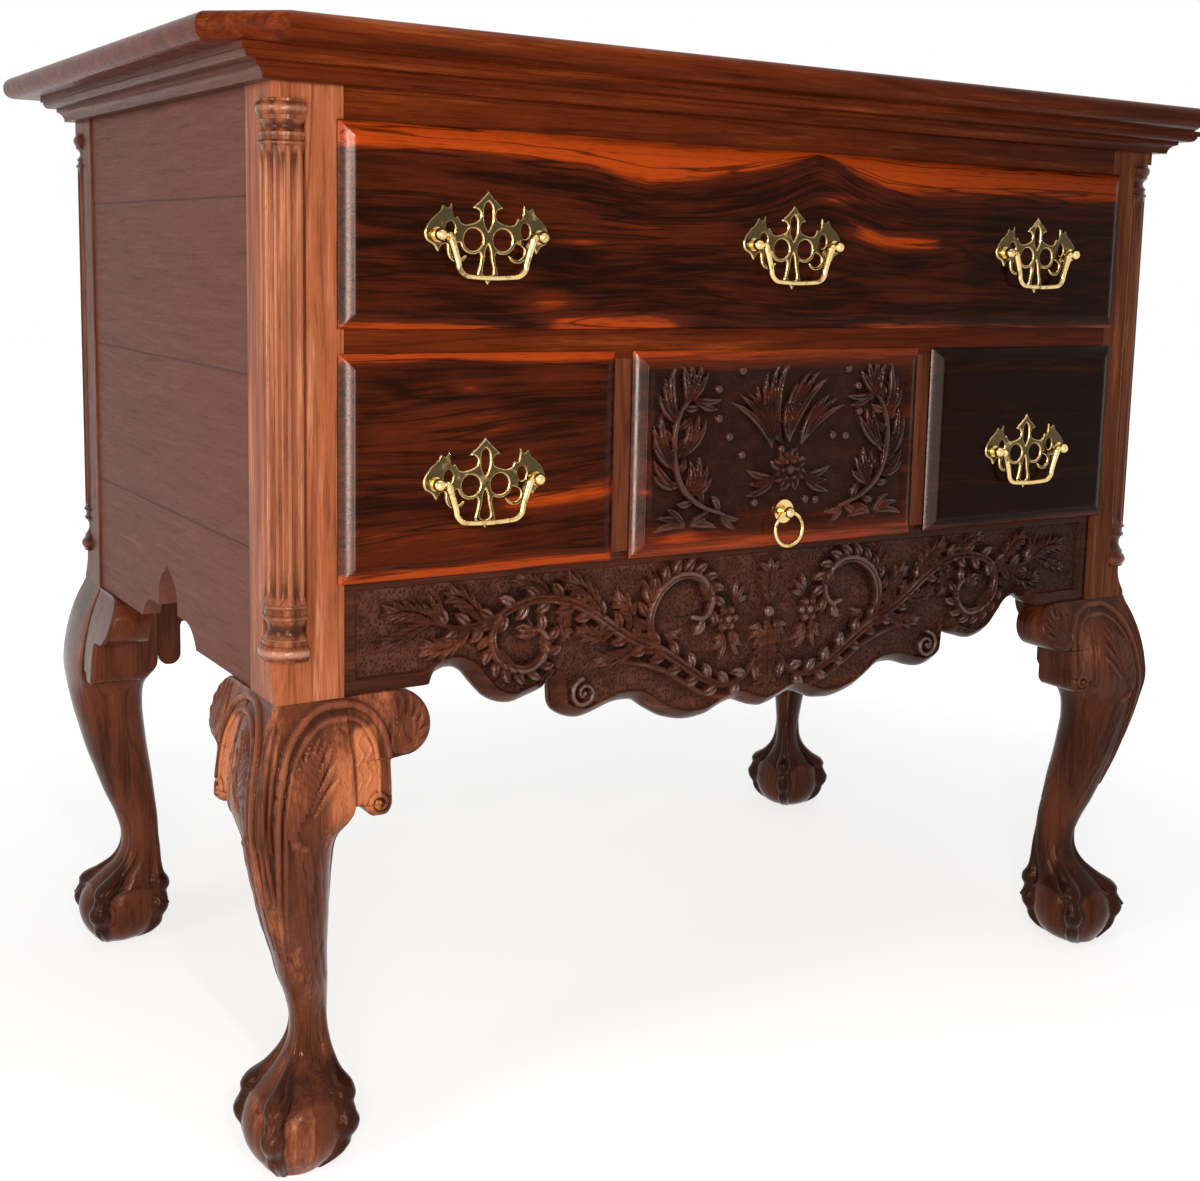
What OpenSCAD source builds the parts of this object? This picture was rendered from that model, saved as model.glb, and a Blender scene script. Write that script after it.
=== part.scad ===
// Lowboy with cabriole legs, one long drawer over three, and pierced brass pulls.
// Millimetres, +Z up, front towards -Y, +X to the right as seen from the front.
// The origin is on the floor, under the middle of the whole piece.

/* [Case] */
// Overall height, floor to the upper face of the top
total_h = 762; // [740:1:800]
// Width of the case over the corner posts
case_w = 806; // [780:1:860]
// Depth of the case over the corner posts
case_d = 476; // [450:1:500]
// Side of a square corner post
post_w = 48; // [46:1:52]
// Height of the knee line, where the square post becomes the leg
leg_h = 329; // [320:1:340]
// Thickness of a side panel
side_t = 14; // [10:1:18]
// How far a side panel lies back from the post faces
side_inset = 2; // [1:0.5:4]
// Thickness of the back panel
back_t = 12; // [8:1:16]
// Thickness of the lower back rail
back_rail_t = 20; // [16:1:24]

/* [Top] */
// Thickness of the top
top_t = 18; // [16:1:22]
// Overhang at the front and the sides
top_overhang = 49; // [40:1:60]
// Overhang at the back
back_overhang = 41; // [20:1:50]
// Length cut from each front corner, along each edge
clip = 43; // [20:1:60]
// Radius of the rounded edge of the top
top_round = 8; // [3:0.5:8]
// Height of the cornice moulding
cornice_h = 19; // [17:0.5:24]
// How far the cornice moulding stands out from the case
cornice_out = 28; // [24:1:34]

/* [Front frame] */
// Height of the front apron above the knee line
apron_h = 82; // [76:1:90]
// Thickness of the front apron
apron_t = 20; // [16:1:24]
// Share of the drawers' height that the lower openings take
lower_share = 0.5364; // [0.5:0.0002:0.56]
// Height of the middle rail
mid_rail_h = 27; // [24:1:30]
// Height of the top rail
top_rail_h = 45; // [40:1:50]
// Thickness of the top rail, front to back
top_rail_t = 22; // [18:1:28]
// Depth of the middle rail and of the dividers, front to back
rail_depth = 60; // [50:1:80]
// Width of a divider between the lower drawers
divider_w = 26; // [22:1:30]
// Distance of each divider's middle from the middle of the case
divider_x = 143.5; // [130:0.5:155]
// Depth of the carved ground behind the face of the apron
ground_sink = 3; // [1:0.5:5]

/* [Legs] */
// How far the knee stands out from the post faces
knee_out = 17; // [14:0.5:18]
// Length of a knee block along the case
block_l = 60; // [54:1:64]
// Thickness of a knee block from the post face inwards
block_in = 26; // [20:1:30]
// Side of the corner rebate that holds a quarter column
column_seat = 22; // [20:0.5:24]
// Distance of a column's middle from both faces of the post
column_inset = 14.5; // [13:0.5:16]
// Radius of a column's shaft
shaft_r = 16.5; // [15:0.5:17]
// Radius of a column's capital and base
capital_r = 19; // [18:0.5:20]
// Height of the column's lower end above the knee line
column_lift = 28; // [20:1:36]
// Gap between the column's upper end and the cornice
column_drop = 10; // [6:1:16]

/* [Drawers] */
// Thickness of a drawer front inside its opening
front_t = 20; // [18:1:24]
// How far the lip covers the case on each side
lip_over = 5.5; // [4:0.5:8]
// Thickness of the lip
lip_t = 7.7; // [6:0.1:10]
// Width of the rounded edge round the lip
thumb_w = 13; // [8:1:16]
// Depth of the rounded edge round the lip
thumb_h = 4; // [2:0.5:5]
// Gap between a drawer and its opening at each side
side_gap = 1; // [0.5:0.1:2]
// Gap above a drawer
top_gap = 2; // [1:0.5:3]
// Gap under a drawer, above its runners
run_gap = 0.3; // [0.2:0.1:0.5]
// Thickness of the drawer sides
box_side_t = 12; // [10:1:14]
// Thickness of the drawer back
box_back_t = 10; // [8:1:14]
// Thickness of the drawer bottom
box_bottom_t = 6; // [4:1:8]
// Gap between a drawer's back and the back panel
back_gap = 26; // [20:1:60]
// Height of the bottom's groove above the lower edge
groove_z = 8; // [6:1:12]
// Depth of the groove that holds the bottom
groove_d = 5; // [3:1:6]
// Length of a dovetail in the drawer front
tail_l = 14; // [10:1:15]
// How much lower the drawer sides are than the front
side_drop = 5; // [3:1:8]

/* [Runners] */
// Thickness of the runners
runner_t = 15; // [12:1:18]
// How far a runner reaches under its drawer
runner_reach = 20; // [16:1:24]
// Height of the guides above the runners
guide_h = 29; // [20:1:34]
// Width of the lower centre runners and the kicker rails
centre_w = 60; // [50:1:70]
// Thickness of the kicker rails
kicker_t = 12; // [10:1:12]
// Side of the glue blocks under the top
glue_w = 20; // [14:1:24]

/* [Pulls] */
// Distance of each side pull from the middle of the case
pull_x = 257; // [240:1:265]
// Distance between the two posts of a pull
post_gap = 76; // [74:1:80]
// Thickness of a brass plate
plate_t = 1.6; // [1:0.1:2.5]
// Distance of the bail's axis from the plate
axis_out = 6.5; // [6:0.5:9]
// Radius of a pull post's round head
head_r = 4.4; // [4.2:0.1:5]
// Radius of a pull post's threaded shank
shank_r = 2.4; // [2:0.1:3]
// Radius of the bail at its lowest point
bail_r = 1.8; // [1.5:0.1:2.2]
// Radius of the bail at its swelled ends
bail_end_r = 2.9; // [2.4:0.1:3.2]
// Radius of the bail's pivot pins
pin_r = 1.55; // [1.2:0.05:1.8]
// Radial clearance of the pivot pins
pin_fit = 0.05; // [0.03:0.01:0.08]
// Drop of the bail's middle below its axis
bail_drop = 27; // [25:1:31]
// Height of the ring pull's post above the drawer opening's lower edge
ring_post_z = 22; // [18:1:30]
// Radius of the ring pull's ring, to the middle of its wire
ring_r = 13; // [9:0.5:14]
// Radius of the ring's wire
wire_r = 1.5; // [1.2:0.1:1.8]

/* [Hidden] */
$fn = 48;

// the faces of the case, and the heights of its rails
front_y = (top_overhang - back_overhang - case_d) / 2;
back_y = front_y + case_d;
mid_y = (front_y + back_y) / 2;
inner_x = case_w / 2 - post_w;
panel_x = case_w / 2 - side_inset - side_t;
under_top = total_h - top_t;
cornice_z = under_top - cornice_h;
lower_z = leg_h + apron_h;
top_rail_z = under_top - top_rail_h;
lower_open_h = (top_rail_z - mid_rail_h - lower_z) * lower_share;
mid_rail_z = lower_z + lower_open_h;
upper_z = mid_rail_z + mid_rail_h;
upper_open_h = top_rail_z - upper_z;
box_l = case_d - back_t - back_gap;
rail_back_y = front_y + rail_depth;
column_z = leg_h + column_lift;
column_h = cornice_z - column_drop - column_z;

// the lower drawer openings, each as [middle, width]
outer_open = [(inner_x + divider_x + divider_w / 2) / 2, inner_x - divider_x - divider_w / 2];
middle_open = [0, 2 * divider_x - divider_w];

// the brass pulls
lip_gap = 0.3;
face_y = front_y - lip_gap - lip_t;
upper_pull_z = upper_z + upper_open_h / 2 - 4;
lower_pull_z = lower_z + lower_open_h / 2 - 11;
ring_z = lower_z + ring_post_z;
axis_y = face_y - plate_t - axis_out;

// wood and metal colours
rosewood = [0.36, 0.16, 0.09];
dark_wood = [0.22, 0.10, 0.07];
panel_wood = [0.30, 0.14, 0.11];
plain_wood = [0.68, 0.50, 0.32];
brass = [0.85, 0.66, 0.30];

// a prism whose outline is drawn in the X-Z plane, from y0 back to y0 + t
module prism_xz(y0, t) {
    translate([0, y0 + t, 0]) rotate([90, 0, 0]) linear_extrude(t) children();
}

// a prism whose outline is drawn in the Y-Z plane, from x0 to x0 + t
module prism_yz(x0, t) {
    translate([x0, 0, 0]) rotate([90, 0, 90]) linear_extrude(t) children();
}

module box(x, y, z) {
    translate([x[0], y[0], z[0]]) cube([x[1] - x[0], y[1] - y[0], z[1] - z[0]]);
}

module both_sides() {
    children();
    mirror([1, 0, 0]) children();
}

// a bar with the given cross-section along every edge of a convex outline
module along_edges(outline, extra) {
    for (i = [0:len(outline) - 1]) {
        from = outline[i];
        to = outline[(i + 1) % len(outline)];
        run = to - from;
        translate([from[0], from[1], 0])
            rotate(atan2(run[1], run[0]))
                translate([-extra, 0, 0])
                    rotate([90, 0, 90]) linear_extrude(norm(run) + 2 * extra) children();
    }
}

// the top's outline at height z, drawn in by inset on every side
function top_ring(inset, z) =
    let (
        left = inset - case_w / 2 - top_overhang,
        front = front_y - top_overhang + inset,
        back = back_y + back_overhang - inset,
        cut = clip - inset * (2 - sqrt(2))
    )
    [
        [left + cut, front, z], [-left - cut, front, z], [-left, front + cut, z],
        [-left, back, z], [left, back, z], [left, front + cut, z]
    ];

function middle_of(ring) = (ring[0] + ring[len(ring) / 2]) / 2;

// a closed skin over rings of points, each turning to the left as seen from the last ring's side
module skin(rings) {
    n = len(rings[0]);
    last = len(rings) - 1;
    points = concat([for (r = rings) for (p = r) p], [middle_of(rings[0]), middle_of(rings[last])]);
    sides = [
        for (i = [0:last - 1]) for (j = [0:n - 1]) for (k = [0, 1])
            let (a = i * n + j, b = i * n + (j + 1) % n)
            k == 0 ? [a, a + n, b + n] : [a, b + n, b]
    ];
    first_end = len(points) - 2;
    lower = [for (j = [0:n - 1]) [first_end, j, (j + 1) % n]];
    upper = [for (j = [0:n - 1]) [first_end + 1, last * n + (j + 1) % n, last * n + j]];
    polyhedron(points, concat(sides, lower, upper), convexity = 6);
}

// the top's edge is rounded above and below by arcs of top_round
module top() {
    lower = [for (a = [90:-15:0]) [top_round * (1 - cos(a)), top_round * (1 - sin(a))]];
    upper = [for (a = [0:15:90]) [top_round * (1 - cos(a)), top_t - top_round * (1 - sin(a))]];
    color(rosewood)
        skin([for (p = concat(lower, upper)) top_ring(p[0], under_top + p[1])]);
}

// section of the cornice: cove, bead, quarter round and square fillet, from the case outwards
module cornice_section() {
    cove_h = 7.5;
    bead_h = 2.6;
    fillet_h = 4.2;
    round_h = cornice_h - cove_h - bead_h - fillet_h;
    round_x = cornice_out - round_h - 2;
    difference() {
        square([cornice_out / 2, cove_h]);
        translate([cornice_out / 2 + 2, 0]) circle(cove_h);
    }
    translate([0, cove_h]) square([cornice_out / 2 + 1, bead_h]);
    translate([0, cove_h + bead_h]) square([round_x, round_h]);
    intersection() {
        translate([round_x, cove_h + bead_h + round_h]) circle(round_h);
        translate([0, cove_h + bead_h]) square([cornice_out, round_h]);
    }
    translate([0, cornice_h - fillet_h]) square([cornice_out, fillet_h]);
}

module cornice_front() {
    reach = cornice_out + 1;
    color(rosewood) intersection() {
        translate([-case_w / 2 - reach, front_y, cornice_z])
            mirror([0, 1, 0]) rotate([90, 0, 90]) linear_extrude(case_w + 2 * reach) cornice_section();
        translate([0, 0, cornice_z]) linear_extrude(cornice_h) polygon([
            [-case_w / 2, front_y], [-case_w / 2 - reach, front_y - reach],
            [case_w / 2 + reach, front_y - reach], [case_w / 2, front_y]
        ]);
    }
}

module cornice_side() {
    reach = cornice_out + 1;
    intersection() {
        translate([-case_w / 2, back_y, cornice_z])
            mirror([1, 0, 0]) rotate([90, 0, 0]) linear_extrude(case_d + reach) cornice_section();
        translate([0, 0, cornice_z]) linear_extrude(cornice_h) polygon([
            [-case_w / 2, front_y], [-case_w / 2, back_y],
            [-case_w / 2 - reach, back_y], [-case_w / 2 - reach, front_y - reach]
        ]);
    }
}

module cornice_left() {
    color(rosewood) cornice_side();
}

module cornice_right() {
    color(rosewood) mirror([1, 0, 0]) cornice_side();
}

// a leg is drawn with the post's outer corner at the origin and the post towards +X and +Y
module at_corner(sx, sy) {
    turn = sy < 0 ? (sx < 0 ? 0 : 90) : (sx < 0 ? 270 : 180);
    translate([sx * case_w / 2, sy < 0 ? front_y : back_y, 0]) rotate(turn) children();
}

// the knee's face is an arc: flush with the post at the knee line, furthest out at knee_low
post_diagonal = post_w * sqrt(2);
knee_low = 250;
block_low = 255;
knee_rise = leg_h - knee_low;
knee_r = (pow(knee_out, 2) + pow(knee_rise, 2)) / (2 * knee_out);
function knee_face(z) = knee_r - knee_out - sqrt(pow(knee_r, 2) - pow(z - knee_low, 2));

// a leg's sections by height: [height, reach out from the post's corner, reach inwards,
// half width, squareness outside, squareness inside, claw depth]
function knee_station(z) =
    let (out = -knee_face(z) * sqrt(2))
    [z, out, post_diagonal, (post_diagonal + out) / 2, 1 + 0.2 * (leg_h - z) / knee_rise, 1, 0];
leg_stations = concat(
    [[0, 4, 50, 26, 2, 2, 0.1], [4, 5, 58, 31, 2, 2, 0.12], [12, 10, 65, 35, 2, 2, 0.15],
     [22, 12.5, 68, 37, 2, 2, 0.18], [34, 11.5, 68, 36, 2, 2, 0.2], [45, 6, 67, 31.5, 2, 2, 0.24],
     [55, -3, 64, 25.5, 2, 2, 0.26], [64, -13, 63.5, 19.5, 1.9, 2, 0.2], [73, -23, 64, 15, 1.8, 2, 0.08],
     [84, -29, 65, 12.5, 1.7, 2, 0], [98, -30, 65, 12.5, 1.7, 2, 0], [115, -25, 64, 14, 1.7, 2, 0],
     [135, -15, 61, 17, 1.7, 2, 0], [155, -6, 58, 20, 1.6, 2, 0], [175, 2, 54, 23.5, 1.6, 2, 0],
     [195, 9, 51, 26, 1.5, 2, 0], [215, 15, 49, 28.5, 1.5, 2, 0], [235, 20, 52, 33, 1.4, 1.8, 0]],
    [for (i = [0:5]) knee_station(block_low + (leg_h - block_low) * i / 5)]
);

function signed_pow(v, e) = sign(v) * pow(abs(v), e);
function leg_point(s, a) =
    let (
        mid = (s[2] - s[1]) / 2,
        half = (s[2] + s[1]) / 2,
        e = 2 / (cos(a) >= 0 ? s[4] : s[5]),
        swell = 1 + s[6] * pow(cos(2 * a), 8),
        inwards = mid - half * swell * signed_pow(cos(a), e),
        across = s[3] * swell * signed_pow(sin(a), e)
    )
    [(inwards + across) / sqrt(2), (inwards - across) / sqrt(2), s[0]];

module leg() {
    ring_points = 24;
    skin([for (s = leg_stations) [for (j = [0:ring_points - 1]) leg_point(s, j * 360 / ring_points)]]);
    difference() {
        translate([0, 0, leg_h]) cube([post_w, post_w, under_top - leg_h]);
        translate([-1, -1, column_z]) cube([column_seat + 1, column_seat + 1, column_h]);
    }
}

module leg_front_left() {
    color(rosewood) at_corner(-1, -1) leg();
}

module leg_front_right() {
    color(rosewood) at_corner(1, -1) leg();
}

module leg_back_left() {
    color(rosewood) at_corner(-1, 1) leg();
}

module leg_back_right() {
    color(rosewood) at_corner(1, 1) leg();
}

// outline of a knee block from the post outwards: a round lobe above, a step, a scroll below
module block_outline() {
    lobe_r = 21;
    step_x = 28;
    scroll_r = 10;
    lobe_z = leg_h - lobe_r;
    translate([0, lobe_z - lobe_r]) square([block_l - lobe_r, 2 * lobe_r]);
    translate([block_l - lobe_r, lobe_z]) circle(lobe_r);
    translate([0, block_low + 3]) square([step_x, lobe_z - block_low]);
    difference() {
        translate([step_x, lobe_z - lobe_r - 5]) square([9, 9]);
        translate([step_x + 9, lobe_z - lobe_r - 5]) circle(9);
    }
    translate([step_x - scroll_r, block_low + 3]) circle(scroll_r);
}

module knee_block() {
    intersection() {
        translate([post_w, 0, 0]) prism_xz(-knee_out, knee_out + block_in) block_outline();
        prism_yz(0, post_w + block_l) intersection() {
            translate([-knee_out, block_low - 30]) square([knee_out + block_in, leg_h - block_low + 30]);
            translate([knee_r - knee_out, knee_low]) circle(knee_r, $fn = 200);
        }
    }
}

module knee_blocks() {
    knee_block();
    mirror([1, -1, 0]) knee_block();
}

module knee_blocks_front_left() {
    color(rosewood) at_corner(-1, -1) knee_blocks();
}

module knee_blocks_front_right() {
    color(rosewood) at_corner(1, -1) knee_blocks();
}

module knee_blocks_back_left() {
    color(rosewood) at_corner(-1, 1) knee_blocks();
}

module knee_blocks_back_right() {
    color(rosewood) at_corner(1, 1) knee_blocks();
}

// half section of a turned column end: fillets and rounds from the end towards the shaft
module turned_end(r) {
    facets = 12;
    big = 5.5;
    small = 2.5;
    heights = [0, 2, 2 + 2 * big, 5 + 2 * big];
    square([r - 1, heights[1]]);
    translate([0, heights[1]]) square([r - big, 2 * big]);
    translate([r - big, heights[1] + big]) circle(big, $fn = facets);
    translate([0, heights[2]]) square([r - 2, 3]);
    translate([0, heights[3]]) square([r - 4, 12]);
    translate([0, heights[3] + 12]) square([r - small, 2 * small]);
    translate([r - small, heights[3] + 12 + small]) circle(small, $fn = facets);
}

module column() {
    end_h = 33;
    flute_r = 2.2;
    flute_step = 30;
    flute_end = 6;
    shaft_h = column_h - 2 * end_h;
    intersection() {
        translate([column_inset, column_inset, column_z]) {
            rotate_extrude() turned_end(capital_r);
            translate([0, 0, column_h]) mirror([0, 0, 1]) rotate_extrude() turned_end(capital_r);
            difference() {
                translate([0, 0, end_h]) cylinder(h = shaft_h, r = shaft_r);
                for (a = [-3:3]) rotate(225 + a * flute_step)
                    translate([shaft_r + 0.6, 0, end_h + flute_end])
                        cylinder(h = shaft_h - 2 * flute_end, r = flute_r, $fn = 24);
            }
        }
        translate([-column_seat, -column_seat, column_z])
            cube([2 * column_seat, 2 * column_seat, column_h]);
    }
}

module column_front_left() {
    color(rosewood) at_corner(-1, -1) column();
}

module column_front_right() {
    color(rosewood) at_corner(1, -1) column();
}

module column_back_left() {
    color(rosewood) at_corner(-1, 1) column();
}

module column_back_right() {
    color(rosewood) at_corner(1, 1) column();
}

// the side's lower edge rises in two steps and a point to its middle
module side_panel() {
    step_w = 42;
    step_h = 17;
    cove_r = 28;
    crown_r = 24;
    crown_h = 52;
    half = case_d / 2 - post_w;
    prism_yz(-panel_x - side_t, side_t) translate([mid_y, 0]) difference() {
        translate([-half, leg_h]) square([2 * half, under_top - leg_h]);
        translate([-step_w, leg_h - 1]) square([2 * step_w, step_h + 1]);
        for (s = [-1, 1]) translate([s * step_w, leg_h + step_h - cove_r]) circle(cove_r);
        translate([0, leg_h + crown_h - crown_r - 5]) circle(crown_r);
        polygon([[-9, leg_h + crown_h - 9], [0, leg_h + crown_h], [9, leg_h + crown_h - 9]]);
    }
}

module side_panel_left() {
    color(panel_wood) side_panel();
}

module side_panel_right() {
    color(panel_wood) mirror([1, 0, 0]) side_panel();
}

module back_panel() {
    color(plain_wood) box([-inner_x, inner_x], [back_y - back_t, back_y], [lower_z, under_top]);
}

module back_rail() {
    color(plain_wood) box([-inner_x, inner_x], [back_y - back_rail_t, back_y], [leg_h, lower_z]);
}

module top_rail() {
    color(rosewood)
        box([-inner_x, inner_x], [front_y, front_y + top_rail_t], [top_rail_z, under_top]);
}

module mid_rail() {
    color(rosewood) box([-inner_x, inner_x], [front_y, rail_back_y], [mid_rail_z, upper_z]);
}

module divider() {
    box([-divider_x - divider_w / 2, -divider_x + divider_w / 2], [front_y, rail_back_y],
        [lower_z, mid_rail_z]);
}

module divider_left() {
    color(rosewood) divider();
}

module divider_right() {
    color(rosewood) mirror([1, 0, 0]) divider();
}

// the apron's lower edge, right half: a small middle lobe, a wide one, a scroll and an end lobe
middle_lobe_r = 24;
wide_lobe_r = 75;
wide_lobe_x = 69;
apron_drop = 57;
module apron_half() {
    scroll_r = 19;
    scroll_x = 172;
    shoulder_r = 60;
    end_lobe_r = 40;
    end_lobe_x = 222;
    lobe_z = leg_h - apron_drop;
    translate([0, leg_h]) square([inner_x, apron_h]);
    translate([0, lobe_z + 1 + middle_lobe_r]) circle(middle_lobe_r);
    intersection() {
        union() {
            translate([wide_lobe_x, lobe_z + wide_lobe_r]) circle(wide_lobe_r);
            translate([scroll_x - 9, lobe_z + 14 + shoulder_r]) circle(shoulder_r);
            translate([0, lobe_z + 26]) square([scroll_x, apron_drop]);
        }
        translate([0, lobe_z - 1]) square([scroll_x, apron_drop + 10]);
    }
    translate([scroll_x, lobe_z + 13 + scroll_r]) circle(scroll_r);
    translate([scroll_x - 4, leg_h - 5]) square([end_lobe_x - scroll_x, 6]);
    intersection() {
        translate([end_lobe_x, leg_h - 24.5 + end_lobe_r]) circle(end_lobe_r);
        translate([end_lobe_x - end_lobe_r, leg_h - 40]) square([2 * end_lobe_r, 41]);
    }
}

module apron_outline() {
    notch_x = 193;
    notch_r = 7;
    difference() {
        union() {
            apron_half();
            mirror([1, 0]) apron_half();
        }
        for (s = [-1, 1]) translate([s * notch_x, leg_h - 9]) circle(notch_r);
    }
}

// the carved ground is sunk behind the face, and a rosette and two scroll rings stand up from it
module apron() {
    margin = 8;
    field_h = apron_h - 2 * margin;
    rosette_r = 20;
    scroll_ring_r = 24;
    scroll_ring_x = 96;
    low_field_x = wide_lobe_x + 50;
    low_field_drop = 30;
    middle_z = leg_h + field_h / 2 - 8;
    color(dark_wood) {
        difference() {
            prism_xz(front_y, apron_t) apron_outline();
            prism_xz(front_y - 1, 1 + ground_sink) {
                translate([-inner_x + margin, leg_h + margin])
                    square([2 * (inner_x - margin), field_h]);
                translate([-low_field_x, leg_h - low_field_drop])
                    square([2 * low_field_x, 2 * low_field_drop]);
            }
        }
        translate([0, front_y + ground_sink, middle_z]) rotate([90, 0, 0]) {
            cylinder(h = ground_sink - 1, r = rosette_r);
            translate([0, 0, ground_sink - 1]) cylinder(h = 1, r = rosette_r - 7);
        }
        for (s = [-1, 1]) translate([s * scroll_ring_x, front_y + ground_sink, middle_z])
            rotate([90, 0, 0]) difference() {
                cylinder(h = ground_sink - 0.5, r = scroll_ring_r);
                translate([0, 0, -1]) cylinder(h = ground_sink + 2, r = scroll_ring_r - 6);
            }
    }
}

// a runner at one side: a strip under the drawer, with a wider part and a guide between the posts
module side_runner(z, from_y, to_y) {
    box([-inner_x, -inner_x + runner_reach], [from_y, to_y], [z - runner_t, z]);
    box([-panel_x, -inner_x], [front_y + post_w, back_y - post_w], [z - runner_t, z + guide_h]);
}

module upper_runners() {
    color(plain_wood) both_sides() side_runner(upper_z, rail_back_y, back_y - back_t);
}

module lower_side_runners() {
    color(plain_wood) both_sides() side_runner(lower_z, front_y + apron_t, back_y - back_rail_t);
}

module lower_centre_runners() {
    guide_w = divider_w - 1;
    color(plain_wood) both_sides() {
        box([-divider_x - centre_w / 2, -divider_x + centre_w / 2],
            [front_y + apron_t, back_y - back_rail_t], [lower_z - runner_t, lower_z]);
        box([-divider_x - guide_w / 2, -divider_x + guide_w / 2],
            [rail_back_y, back_y - back_rail_t], [lower_z, lower_z + guide_h]);
    }
}

module kicker_rails() {
    color(plain_wood) both_sides()
        box([-divider_x - centre_w / 2, -divider_x + centre_w / 2],
            [rail_back_y, back_y - back_t], [mid_rail_z, mid_rail_z + kicker_t]);
}

module glue_blocks() {
    block_run = 50;
    block_step = 120;
    color(plain_wood) both_sides() for (i = [-1:1])
        translate([-panel_x, mid_y + i * block_step - block_run / 2, under_top - glue_w])
            cube([glue_w, block_run, glue_w]);
}

// drawers: open is [middle, width] of the opening, z its lower edge and h its height
function drawer_w(open) = open[1] - 2 * side_gap;
function drawer_h(h) = h - run_gap - top_gap;
function tail_count(h) = max(2, round((h - 10) / 34));

// a row of dovetails, narrow where they leave the board; base_y is that plane, dir their way along Y
module dovetails(h, base_y, dir, reach, x0, t) {
    count = tail_count(h);
    step = h / count;
    narrow = step * 0.27;
    wide = step * 0.36;
    prism_yz(x0, t) for (i = [0:count - 1]) translate([base_y, (i + 0.5) * step])
        polygon([[0, -narrow], [dir * reach, -wide], [dir * reach, wide], [0, narrow]]);
}

// the same tails for both sides of a drawer, from height z up
module side_tails(open, z, h, base_y, dir, reach) {
    for (s = [0, 1]) {
        x0 = open[0] + (s == 0 ? -drawer_w(open) / 2 : drawer_w(open) / 2 - box_side_t);
        translate([0, 0, z]) dovetails(h, base_y, dir, reach, x0, box_side_t);
    }
}

module front_tails(open, z, h) {
    side_tails(open, z + run_gap, drawer_h(h) - side_drop, front_y + front_t, -1, tail_l);
}

// the drawer back stands on the bottom, so its dovetails start there
back_lift = groove_z + box_bottom_t;
module back_tails(open, z, h) {
    side_tails(open, z + run_gap + back_lift, drawer_h(h) - side_drop - back_lift,
        front_y + box_l - box_back_t, 1, box_back_t);
}

module bottom_board(open, z) {
    half = drawer_w(open) / 2 - box_side_t + groove_d;
    box([open[0] - half, open[0] + half], [front_y + front_t - groove_d, front_y + box_l],
        [z + run_gap + groove_z, z + run_gap + groove_z + box_bottom_t]);
}

module drawer_front(open, z, h) {
    w = drawer_w(open);
    lip_w = open[1] + 2 * lip_over;
    lip_h = h + 2 * lip_over;
    lip = [[0, 0], [lip_w, 0], [lip_w, lip_h], [0, lip_h]];
    arc_r = (pow(thumb_w, 2) + pow(thumb_h, 2)) / (2 * thumb_h);
    difference() {
        union() {
            box([open[0] - w / 2, open[0] + w / 2], [front_y - lip_gap, front_y + front_t],
                [z + run_gap, z + run_gap + drawer_h(h)]);
            translate([open[0] - lip_w / 2, front_y - lip_gap, z - lip_over]) rotate([90, 0, 0])
                difference() {
                    linear_extrude(lip_t) polygon(lip);
                    along_edges(lip, thumb_w) difference() {
                        translate([-1, lip_t - thumb_h]) square([thumb_w + 1, thumb_h + 1]);
                        translate([thumb_w, lip_t - arc_r]) circle(arc_r, $fn = 96);
                    }
                }
        }
        front_tails(open, z, h);
        bottom_board(open, z);
    }
}

module drawer_sides(open, z, h) {
    w = drawer_w(open);
    side_h = drawer_h(h) - side_drop;
    difference() {
        union() {
            for (s = [0, 1]) {
                x0 = open[0] + (s == 0 ? -w / 2 : w / 2 - box_side_t);
                box([x0, x0 + box_side_t], [front_y + front_t, front_y + box_l - box_back_t],
                    [z + run_gap, z + run_gap + side_h]);
            }
            front_tails(open, z, h);
            back_tails(open, z, h);
        }
        bottom_board(open, z);
    }
}

module drawer_back(open, z, h) {
    w = drawer_w(open);
    side_h = drawer_h(h) - side_drop;
    difference() {
        box([open[0] - w / 2, open[0] + w / 2],
            [front_y + box_l - box_back_t, front_y + box_l],
            [z + run_gap + back_lift, z + run_gap + side_h]);
        back_tails(open, z, h);
    }
}

// the holes of a pull's two posts through a drawer front
module post_holes(x, z) {
    for (s = [-1, 1]) translate([x + s * post_gap / 2, front_y + front_t + 1, z]) rotate([90, 0, 0])
        cylinder(h = front_t + lip_t + 3, r = shank_r + pin_fit);
}

upper_open = [0, 2 * inner_x];
left_open = [-outer_open[0], outer_open[1]];
right_open = outer_open;

module upper_drawer_front() {
    color(dark_wood) difference() {
        drawer_front(upper_open, upper_z, upper_open_h);
        for (s = [-1:1]) post_holes(s * pull_x, upper_pull_z);
    }
}

module upper_drawer_sides() {
    color(plain_wood) drawer_sides(upper_open, upper_z, upper_open_h);
}

module upper_drawer_back() {
    color(plain_wood) drawer_back(upper_open, upper_z, upper_open_h);
}

module upper_drawer_bottom() {
    color(plain_wood) bottom_board(upper_open, upper_z);
}

module left_drawer_front() {
    color(dark_wood) difference() {
        drawer_front(left_open, lower_z, lower_open_h);
        post_holes(-pull_x, lower_pull_z);
    }
}

module left_drawer_sides() {
    color(plain_wood) drawer_sides(left_open, lower_z, lower_open_h);
}

module left_drawer_back() {
    color(plain_wood) drawer_back(left_open, lower_z, lower_open_h);
}

module left_drawer_bottom() {
    color(plain_wood) bottom_board(left_open, lower_z);
}

module middle_drawer_front() {
    color(dark_wood) difference() {
        drawer_front(middle_open, lower_z, lower_open_h);
        translate([0, front_y + front_t + 1, ring_z]) rotate([90, 0, 0])
            cylinder(h = front_t + lip_t + 3, r = shank_r + pin_fit);
    }
}

module middle_drawer_sides() {
    color(plain_wood) drawer_sides(middle_open, lower_z, lower_open_h);
}

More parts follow.
